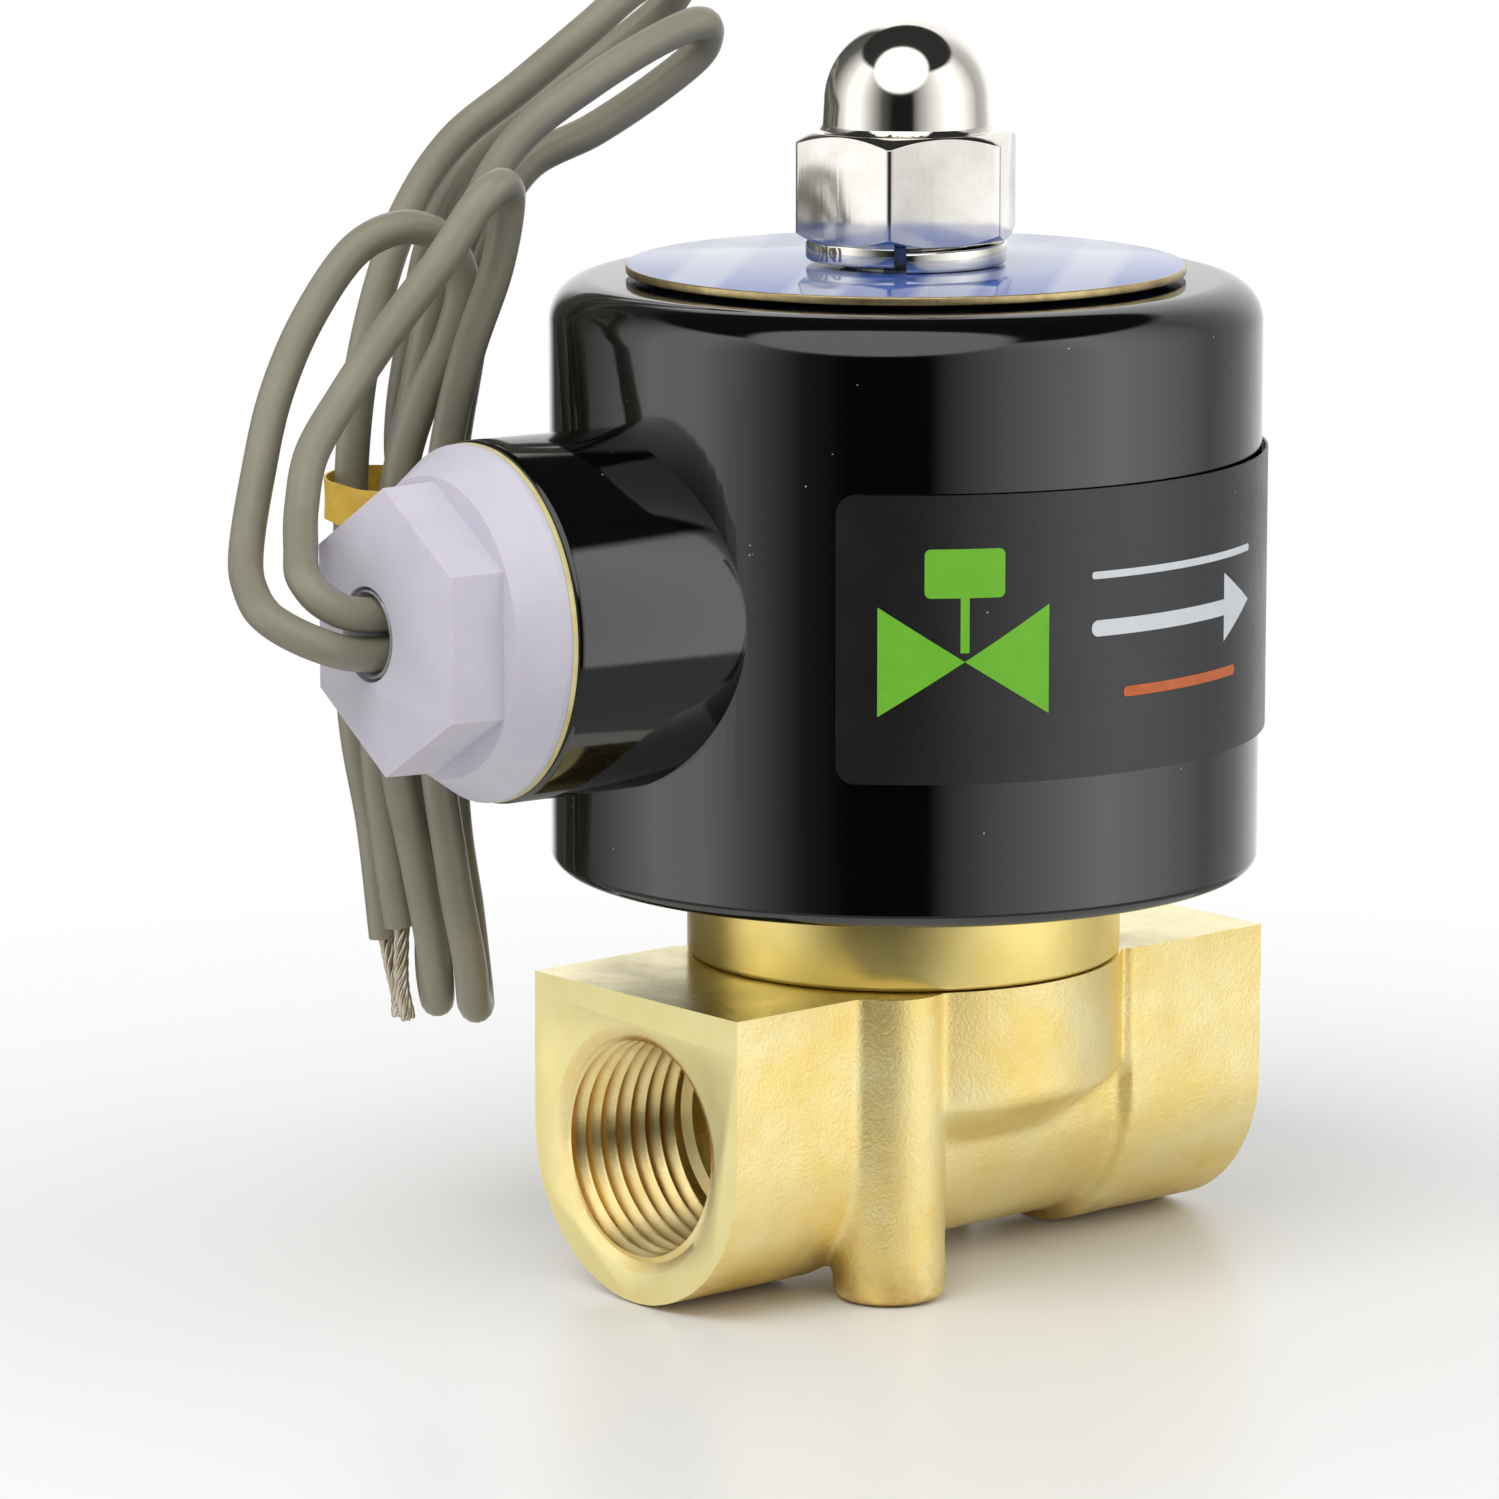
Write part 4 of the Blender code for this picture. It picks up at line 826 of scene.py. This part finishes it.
port_brass = finish("port_brass", (0.98, 0.84, 0.44), (0.92, 0.72, 0.30), 1.0, (0.24, 0.36), 300.0,
                    2200.0, 0.008)
# Painted shade and painted warm inter-reflection: the roots of the thread are darkened to warm brown,
# for the shade and bounced light deep in the grooves, so the tone follows the distance from the
# port's axis. The chamfer at the mouth is as wide as the roots, and is left unshaded.
tree, base, unshaded_brass = base_of(port_brass)
offset = vector_maths(tree, "SUBTRACT", object_place(tree), (STEM_X, 0.0, PORT_Z))
across = vector_maths(tree, "MULTIPLY", offset, (0.0, 1.0, 1.0))
from_axis = vector_maths(tree, "LENGTH", across, output="Value")
painted_root_shade = ranged(tree, from_axis, PORT_BORE + 0.25 * MM, PORT_BORE + 0.80 * MM)
along = maths(tree, "ABSOLUTE", axes_of(tree, offset)["X"])
inside_mouth = maths(tree, "LESS_THAN", along, HALF - THREAD_FROM - 0.1 * MM)
wire(tree, mixed(tree, maths(tree, "MULTIPLY", painted_root_shade, inside_mouth), unshaded_brass, (0.60, 0.34, 0.08)), base)

profile = [(0.0, HALF - RELIEF_DEPTH), (RELIEF, HALF - RELIEF_DEPTH), (RELIEF, HALF - THREAD_TO - MM),
           (PORT_BORE, HALF - THREAD_TO - 0.6 * MM)]
for i in range(RIDGES):
    start = HALF - THREAD_TO + i * THREAD_PITCH
    profile += [(PORT_BORE, start), (PORT_BORE + 0.12 * MM, start + 0.14 * MM),
                (PORT_BORE + THREAD_DEPTH * 0.88, start + 0.52 * MM),
                (PORT_BORE + THREAD_DEPTH, start + 0.67 * MM),
                (PORT_BORE + THREAD_DEPTH * 0.88, start + 0.82 * MM),
                (PORT_BORE + 0.12 * MM, start + 1.20 * MM)]
profile += [(PORT_BORE + 0.55 * MM, HALF - THREAD_FROM), (PORT_MOUTH, HALF), (PORT_MOUTH, HALF + 2 * MM),
            (0.0, HALF + 2 * MM)]
cutters = []
for side in (-1, 1):
    bm = spun(profile, 128)
    # A thread climbs as it goes round, so the ridges lean by a quarter of the pitch each way.
    for vert in bm.verts:
        if HALF - THREAD_TO - 0.1 * MM < vert.co.z < HALF - THREAD_FROM - 0.1 * MM:
            vert.co.z -= THREAD_PITCH / 4 * vert.co.x / PORT_BORE
    turn = Matrix.Rotation(math.radians(90 * side), 4, "Y")
    cutters.append(as_object(bm, f"port_{side}", Matrix.Translation((0, 0, PORT_Z)) @ turn, port_brass))
print(RIDGES, "thread ridges in each port")

# %% Inside ways
def turned_cutter(name, profile, place, steps=64):
    return as_object(spun(profile, steps), name, place, port_brass)


def drill(name, radius, start, end, place):
    """A cutter for a round hole along its own axis."""
    return turned_cutter(name, [(0.0, start), (radius, start), (radius, end), (0.0, end)], place)


WAYS = (("inlet_way", 3.8, 11.2, -11.6, -5.0), ("outlet_way", 3.2, 9.4, -1.5, 11.6))
for name, radius, z, start, end in WAYS:
    lay = Matrix.Translation((0, 0, z * MM)) @ Matrix.Rotation(math.radians(90), 4, "Y")
    cutters.append(drill(name, radius * MM, start * MM, end * MM, lay))
upright = Matrix.Identity(4)
cutters.append(turned_cutter("chamber", [
    (0.0, 16.2 * MM), (3.2 * MM, 16.2 * MM), (4.2 * MM, 13.6 * MM), (7.4 * MM, 13.6 * MM),
    (7.4 * MM, 17.2 * MM), (10.3 * MM, 17.2 * MM), (10.3 * MM, TOP + 2 * MM), (0.0, TOP + 2 * MM),
], upright))
cutters.append(drill("orifice", 2.0 * MM, 9.4 * MM, 17.2 * MM, upright))
for name, (x, y) in zip(("near_foot_hole", "far_foot_hole"), PILLARS):
    cutters.append(drill(name, 1.65 * MM, -1.0 * MM, 6.0 * MM, Matrix.Translation((x * MM, y * MM, 0))))
combine(body, cutters, "DIFFERENCE", 38, "MANIFOLD")
body.data.transform(on_stem)
stands_for(body, "valve", "forged_brass", "valve_body")

# %% [markdown]
# ## The plug
# The leads come out of a moulded nylon plug. Its hexagon stands on a shallow cone, and every edge
# is rounded as moulded edges are. The wire hole sits off the middle. The hexagon is an extruded
# six-sided circle, the flange is spun, and one bevel rounds the edges of both.

# %% Plug
HEX_FLATS = 17.2 * MM
HEX_BASE = 38.3 * MM
HEX_FACE = 42.3 * MM
FLANGE_BACK = 35.1 * MM
FLANGE_RADIUS = 12.1 * MM
SHANK_RADIUS = 10.5 * MM
SHANK_END = 27.2 * MM
WIRE_HOLE = 3.25 * MM
wire_hole_place = on_coil @ Matrix.Translation((0, 2.2 * MM, 47.7 * MM)) @ along_minus_x

pale_nylon = finish("pale_nylon", (0.62, 0.60, 0.675), (0.56, 0.54, 0.62), rough=(0.36, 0.48),
                    tone_scale=120.0, grain_scale=1100.0, bump=0.010, Subsurface_Weight=0.25,
                    Subsurface_Scale=0.0012)
hex_corner = HEX_FLATS / math.sqrt(3)
cone_top = hex_corner + 0.3 * MM
profile = [(0.0, SHANK_END), (SHANK_RADIUS, SHANK_END), (SHANK_RADIUS, FLANGE_BACK),
           (FLANGE_RADIUS, FLANGE_BACK), (FLANGE_RADIUS, FLANGE_BACK + 0.45 * MM),
           (cone_top, HEX_BASE), (0.0, HEX_BASE)]
plug = as_object(spun(profile, 144), "wire_plug", on_boss, pale_nylon)
bm = hexagon_bar(hex_corner, HEX_BASE - MM, HEX_FACE)
# A moulded head draws in a little towards its face, so that it leaves the die.
bmesh.ops.scale(bm, vec=(0.985, 0.985, 1.0), verts=[v for v in bm.verts if v.co.z > HEX_BASE])
corner_up = Matrix.Rotation(math.radians(30), 4, "Z")
head = as_object(bm, "head", on_boss @ corner_up, pale_nylon)
hole = as_object(spun([(0.0, 20 * MM), (WIRE_HOLE, 20 * MM), (WIRE_HOLE, 45 * MM), (0.0, 45 * MM)], 64),
                 "hole", wire_hole_place, pale_nylon)
combine(plug, [head], "UNION")
combine(plug, [hole], "DIFFERENCE", 30)
rounded = plug.modifiers.new("rounded", "BEVEL")
rounded.width = 0.38 * MM
rounded.segments = 4
rounded.limit_method = "ANGLE"
rounded.angle_limit = math.radians(26)
stands_for(settle(plug, 60), "coil", "pale_nylon", "cable_gland")

# %% Seal and clear sleeve
cream = finish("cream_gasket", (0.72, 0.64, 0.32), (0.55, 0.46, 0.20), rough=(0.4, 0.6), tone_scale=500.0)
seal_edge = 12.10 * MM
seal = as_object(spun([(SHANK_RADIUS + 0.1 * MM, BOSS_END + 0.03 * MM), (seal_edge, BOSS_END + 0.03 * MM),
                       (seal_edge + 0.05 * MM, BOSS_END + 0.2 * MM), (seal_edge, FLANGE_BACK - 0.03 * MM),
                       (SHANK_RADIUS + 0.1 * MM, FLANGE_BACK - 0.03 * MM)], 144), "plug_seal", on_boss, cream)
stands_for(seal, "coil", "cream_gasket", "gland_gasket")

clear_film = finish("clear_sleeve", (0.92, 0.93, 0.95), (0.84, 0.85, 0.88), rough=(0.05, 0.14),
                    tone_scale=600.0, grain_scale=1800.0, bump=0.01, Transmission_Weight=0.75, IOR=1.46)
sleeve = as_object(spun([(2.78 * MM, 36.3 * MM), (3.02 * MM, 36.3 * MM), (3.02 * MM, 42.15 * MM),
                         (2.90 * MM, 42.30 * MM), (2.78 * MM, 42.15 * MM)], 64), "hole_sleeve",
                   wire_hole_place, clear_film)
stands_for(sleeve, "coil", "clear_sleeve", "lead_sleeve")

# %% [markdown]
# ## The side label
# A charcoal film label is wrapped round the can. It is drawn flat first, with round corners, cut
# into narrow strips so that it can bend, and then wrapped on the can's radius. The print is drawn
# and wrapped in the same way, a hair above the film. The marks are plain ones: a valve symbol as
# drawn in any piping diagram, an arrow for the flow and two rules. There is no lettering.

# %% Label tools
label_low, label_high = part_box("side_label")
LABEL_RADIUS = 25.02 * MM
FILM = 0.16 * MM
LABEL_START_DEG = 224.5
LABEL_LENGTH = 51.5 * MM
LABEL_HEIGHT = label_high.z - label_low.z
STRIP = 0.8 * MM


def flat_shape(bm, outline):
    """A flat face from (along, up) points in millimetres."""
    return bm.faces.new([bm.verts.new((x * MM, y * MM, 0.0)) for x, y in outline])


def round_box(x, y, width, height, corner):
    """An outline with round corners, from its lower left corner."""
    middles = ((x + width - corner, y + height - corner, 0), (x + corner, y + height - corner, 90),
               (x + corner, y + corner, 180), (x + width - corner, y + corner, 270))
    outline = []
    for cx, cy, start in middles:
        outline += arc(cx, cy, corner, start, start + 90, 6)
    return outline


def wrapped(bm, name, radius, thickness, look):
    """Cuts a flat drawing into strips, wraps it round the can and gives it its thickness."""
    cuts = int(LABEL_LENGTH / STRIP)
    for i in range(1, cuts):
        bmesh.ops.bisect_plane(bm, geom=bm.verts[:] + bm.edges[:] + bm.faces[:], dist=1e-7,
                               plane_co=(i * STRIP, 0, 0), plane_no=(1, 0, 0))
    for vert in bm.verts:
        angle = math.radians(LABEL_START_DEG) + vert.co.x / LABEL_RADIUS
        vert.co = Vector((radius * math.cos(angle), radius * math.sin(angle), label_low.z + vert.co.y))
    bmesh.ops.recalc_face_normals(bm, faces=bm.faces)
    first = bm.faces[:][0]
    outward = Vector((first.calc_center_median().x, first.calc_center_median().y, 0))
    if first.normal.dot(outward) < 0:
        bmesh.ops.reverse_faces(bm, faces=bm.faces)
    made = as_object_open(bm, name, on_coil, look)
    wall = made.modifiers.new("film", "SOLIDIFY")
    wall.thickness = thickness
    wall.offset = 1.0
    return settle(made, 40)


def as_object_open(bm, name, place, look):
    """Like as_object, for an open sheet whose faces already point the right way."""
    bmesh.ops.transform(bm, matrix=place, verts=bm.verts)
    mesh = bpy.data.meshes.new(name)
    bm.to_mesh(mesh)
    bm.free()
    mesh.materials.append(look)
    made = bpy.data.objects.new(name, mesh)
    bpy.context.scene.collection.objects.link(made)
    return made

# %% Label and its print
charcoal = finish("charcoal_film", (0.0060, 0.0060, 0.0065), (0.0040, 0.0040, 0.0045), rough=(0.30, 0.38),
                  tone_scale=150.0, grain_scale=1700.0, bump=0.012, dust=(800.0, 0.04), IOR=1.65)
green_ink = finish("green_ink", (0.16, 0.50, 0.020), (0.14, 0.46, 0.018), rough=(0.35, 0.5),
                   tone_scale=600.0, grain_scale=1700.0, bump=0.008)
white_ink = finish("white_ink", (0.70, 0.74, 0.78), (0.64, 0.68, 0.72), rough=(0.35, 0.5),
                   tone_scale=600.0, grain_scale=1700.0, bump=0.008)
orange_ink = finish("orange_ink", (0.62, 0.14, 0.03), (0.5, 0.11, 0.02), rough=(0.35, 0.5),
                    tone_scale=600.0, grain_scale=1700.0, bump=0.008)

bm = bmesh.new()
flat_shape(bm, round_box(0, 0, LABEL_LENGTH / MM, LABEL_HEIGHT / MM, 1.3))
label = wrapped(bm, "film_label", LABEL_RADIUS, FILM, charcoal)
stands_for(label, "coil", "charcoal_film", "side_label")

valve_symbol = [
    [(2.8, 4.6), (8.6, 8.3), (2.8, 12.0)], [(14.4, 4.6), (14.4, 12.0), (8.6, 8.3)],
    [(8.3, 8.9), (8.9, 8.9), (8.9, 12.6), (8.3, 12.6)],
    round_box(5.9, 12.6, 5.4, 3.3, 0.4),
]
flow_arrow = [round_box(17.6, 9.5, 13.5, 1.1, 0.5), [(30.6, 7.7), (34.6, 10.05), (30.6, 12.4)]]
rules = [round_box(17.6, 13.4, 17.0, 0.5, 0.2)]
small_rule = [round_box(20.2, 5.2, 12.0, 0.7, 0.3)]
prints = (("print_valve_symbol", valve_symbol, green_ink), ("print_flow_arrow", flow_arrow, white_ink),
          ("print_long_rule", rules, white_ink), ("print_short_rule", small_rule, orange_ink))
for name, shapes, ink in prints:
    bm = bmesh.new()
    for outline in shapes:
        flat_shape(bm, outline)
    ink_layer = wrapped(bm, name, LABEL_RADIUS + FILM + 0.01 * MM, 0.025 * MM, ink)
    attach(ink_layer, "coil")

# %% [markdown]
# ## Pieces inside
# The plunger, the winding and the rest keep their CAD shapes, because turned steel and
# a round winding already look right. Each gets the finish of its real material. The winding's
# bands come from the tool marks group, stretched round the coil, as turns of wire lie.

# %% Inside finishes
stainless = finish("stainless", (0.66, 0.66, 0.67), (0.54, 0.54, 0.55), 1.0, (0.2, 0.34), 200.0,
                   tool_marks=(80.0, 80.0, 5000.0), bump=0.005)
ground_steel = finish("ground_steel", (0.58, 0.58, 0.6), (0.48, 0.48, 0.5), 1.0, (0.24, 0.36), 220.0,
                      tool_marks=(90.0, 90.0, 4200.0), bump=0.006)
spring_wire = finish("spring_wire", (0.56, 0.56, 0.58), (0.44, 0.44, 0.46), 1.0, (0.25, 0.4), 500.0)
soft_iron = finish("soft_iron", (0.32, 0.32, 0.33), (0.22, 0.21, 0.21), 0.9, (0.4, 0.6), 250.0,
                   1800.0, 0.03)
bare_copper = finish("bare_copper", (0.78, 0.42, 0.28), (0.6, 0.28, 0.16), 1.0, (0.22, 0.4), 300.0)
wound_copper = finish("wound_copper", (0.58, 0.22, 0.09), (0.38, 0.12, 0.04), 0.85, (0.25, 0.4), 400.0,
                      tool_marks=(40.0, 40.0, 3600.0), bump=0.08)
black_rubber = finish("black_rubber", (0.03, 0.03, 0.03), (0.018, 0.018, 0.018), rough=(0.5, 0.7),
                      grain_scale=2500.0, bump=0.02)
brown_rubber = finish("brown_rubber", (0.05, 0.025, 0.02), (0.03, 0.015, 0.012), rough=(0.5, 0.7),
                      grain_scale=2500.0, bump=0.02)
bobbin_nylon = finish("bobbin_nylon", (0.07, 0.07, 0.075), (0.045, 0.045, 0.05), rough=(0.4, 0.6),
                      grain_scale=2400.0, bump=0.03)
amber_tape = finish("amber_tape", (0.72, 0.55, 0.10), (0.6, 0.43, 0.06), rough=(0.2, 0.4), tone_scale=180.0,
                    grain_scale=900.0, bump=0.02, Coat_Weight=0.3)
red_sleeve = finish("red_sleeve", (0.52, 0.05, 0.04), (0.38, 0.03, 0.025), rough=(0.35, 0.5),
                    tone_scale=500.0)
inside = {
    "bonnet_o_ring": black_rubber, "guide_tube": stainless, "fixed_core": stainless,
    "shading_ring": bare_copper, "plunger": ground_steel, "plunger_seal": brown_rubber,
    "housing_bottom_plate": soft_iron, "upper_flux_sleeve": soft_iron,
    "lower_flux_sleeve": soft_iron, "coil_bobbin": bobbin_nylon, "copper_winding": wound_copper,
    "winding_tape": amber_tape, "lead_splice_1": red_sleeve, "lead_splice_2": red_sleeve,
}
for name, look in inside.items():
    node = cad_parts[name]
    node.data.materials.clear()
    node.data.materials.append(look)
print(len(inside), "inside pieces finished")

# %% [markdown]
# The return spring is the one inside piece that changes shape in the valve: it shortens as the
# plunger lifts. Here it is a small ring spun up a screw line, with its turns evenly spaced.

# %% Return spring
SPRING_TURNS = 7
SPRING_STEPS = SPRING_TURNS * 36
SPRING_WIRE = 0.4 * MM
SPRING_RADIUS = 2.35 * MM
spring_low, spring_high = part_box("plunger_spring")
spring_length = spring_high.z - spring_low.z
first_ring = Matrix.Translation((SPRING_RADIUS, 0, spring_low.z + SPRING_WIRE))
first_ring @= Matrix.Rotation(math.radians(90), 4, "X")
bm = bmesh.new()
bmesh.ops.create_circle(bm, segments=14, radius=SPRING_WIRE, matrix=first_ring)
bmesh.ops.spin(bm, geom=bm.verts[:] + bm.edges[:], cent=(0, 0, 0), axis=(0, 0, 1),
               dvec=(0, 0, (spring_length - 2 * SPRING_WIRE) / SPRING_STEPS),
               angle=math.tau * SPRING_TURNS, steps=SPRING_STEPS, use_merge=False, use_duplicate=False)
bmesh.ops.holes_fill(bm, edges=[e for e in bm.edges if e.is_boundary], sides=0)
spring = as_object(bm, "return_spring", on_stem, spring_wire)
stands_for(spring, "valve", "spring_steel", "plunger_spring")
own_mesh(spring)

# %% [markdown]
# ## Floor, light and surroundings
# The floor is plain and pale. Polished black and brass show mostly what stands round them, so the
# surroundings matter more here than the lamps. A studio has bright white sides with dark gaps
# between them, and it is darkest behind the camera. The world shader paints those sides for
# reflections by compass angle, and gives soft even light for everything else.

# %% Floor
bm = bmesh.new()
bmesh.ops.create_grid(bm, x_segments=2, y_segments=2, size=3.0)
floor_mesh = bpy.data.meshes.new("studio_floor")
bm.to_mesh(floor_mesh)
bm.free()
floor = bpy.data.objects.new("studio_floor", floor_mesh)
floor.location.z = -0.02 * MM
bpy.context.scene.collection.objects.link(floor)
paper = bpy.data.materials.new("pale_paper")
paper.use_nodes = True
tree = paper.node_tree
shader = tree.nodes["Principled BSDF"]
shader.inputs["Base Color"].default_value = (0.80, 0.80, 0.79, 1.0)
shader.inputs["Roughness"].default_value = 0.30
shader.inputs["Specular IOR Level"].default_value = 0.22
# Away from the valve the paper burns out into the white surroundings. Mirrors only see the paper
# from close by; further off they see the surroundings, which have a pale table of their own.
burnt_out = ranged(tree, vector_maths(tree, "LENGTH", object_place(tree), output="Value"), 0.055, 0.135)
path = add_node(tree, "ShaderNodeLightPath").outputs
far_off = maths(tree, "GREATER_THAN", path["Ray Length"], 0.05)
far_mirror = maths(tree, "MULTIPLY", path["Is Glossy Ray"], far_off)
gone = add_node(tree, "ShaderNodeBsdfTransparent")
paper_or_gone = either_of(tree, maths(tree, "MAXIMUM", far_mirror, burnt_out), shader.outputs["BSDF"],
                          gone.outputs["BSDF"])
wire(tree, paper_or_gone, tree.nodes["Material Output"].inputs["Surface"])
floor_mesh.materials.append(paper)

# %% Surroundings
# Each stop is (compass angle from +X in degrees, brightness).
SIDES = ((-180, 0.50), (-165, 0.10), (-150, 0.012), (-124, 0.012), (-117, 0.28), (-99, 0.75),
         (-82, 1.10), (-63, 1.50), (-43, 1.10), (-17, 0.45), (3, 0.60), (22, 1.00), (62, 1.20),
         (72, 0.08), (100, 0.12), (115, 0.40), (133, 0.90), (140, 1.20), (160, 1.20), (170, 0.85),
         (180, 0.50))
CEILING, TABLE, LAMP = 0.03, 0.32, 1.3

world = bpy.data.worlds.new("studio")
world.use_nodes = True
world.cycles.sampling_method = "NONE"
bpy.context.scene.world = world
tree = world.node_tree
tree.nodes.clear()


def background(brightness, strength=1.0):
    made = add_node(tree, "ShaderNodeBackground")
    feed(tree, made.inputs["Color"], brightness)
    made.inputs["Strength"].default_value = strength
    return made.outputs[0]


direction = add_node(tree, "ShaderNodeTexCoord").outputs["Generated"]
x, y, z = axes_of(tree, direction)
sides = add_node(tree, "ShaderNodeValToRGB")
wire(tree, ranged(tree, maths(tree, "ARCTAN2", y, x), -math.pi, math.pi), sides.inputs["Fac"])
ramp = sides.color_ramp
for i, (degrees, bright) in enumerate(SIDES):
    spot = (degrees + 180) / 360
    stop = ramp.elements[i] if i < 2 else ramp.elements.new(spot)
    stop.position = spot
    stop.color = (bright, bright, bright, 1.0)
# One soft lamp hangs above the camera, and it shows in the domed nut.
to_lamp = vector_maths(tree, "DOT_PRODUCT", direction, Vector((-0.50, -0.38, 0.78)).normalized(), "Value")
around = mixed(tree, ranged(tree, z, 0.66, 0.71), sides.outputs["Color"], (CEILING,) * 3)
around = mixed(tree, ranged(tree, z, -0.34, -0.38), around, (TABLE,) * 3)
around = mixed(tree, ranged(tree, to_lamp, 0.80, 0.84), around, (LAMP,) * 3)
white = (1.0, 1.0, 1.0)
ray = add_node(tree, "ShaderNodeLightPath").outputs
light_or_mirror = either_of(tree, ray["Is Glossy Ray"], background(white, 0.70), background(around))
shown = either_of(tree, ray["Is Camera Ray"], light_or_mirror, background(white))
wire(tree, shown, add_node(tree, "ShaderNodeOutputWorld").inputs["Surface"])


def soft_box(name, at, size, power):
    """A square area lamp that looks at the valve and doesn't show in reflections."""
    lamp = bpy.data.lights.new(name, "AREA")
    lamp.size = size
    lamp.energy = power
    made = bpy.data.objects.new(name, lamp)
    made.location = at
    made.rotation_euler = (Vector((0, 0, 0.04)) - Vector(at)).to_track_quat("-Z", "Y").to_euler()
    made.visible_glossy = False
    bpy.context.scene.collection.objects.link(made)


soft_box("key_light", (-0.45, -0.15, 0.75), 0.5, 3.6)
soft_box("fill_light", (0.5, -0.5, 0.45), 0.6, 1.2)
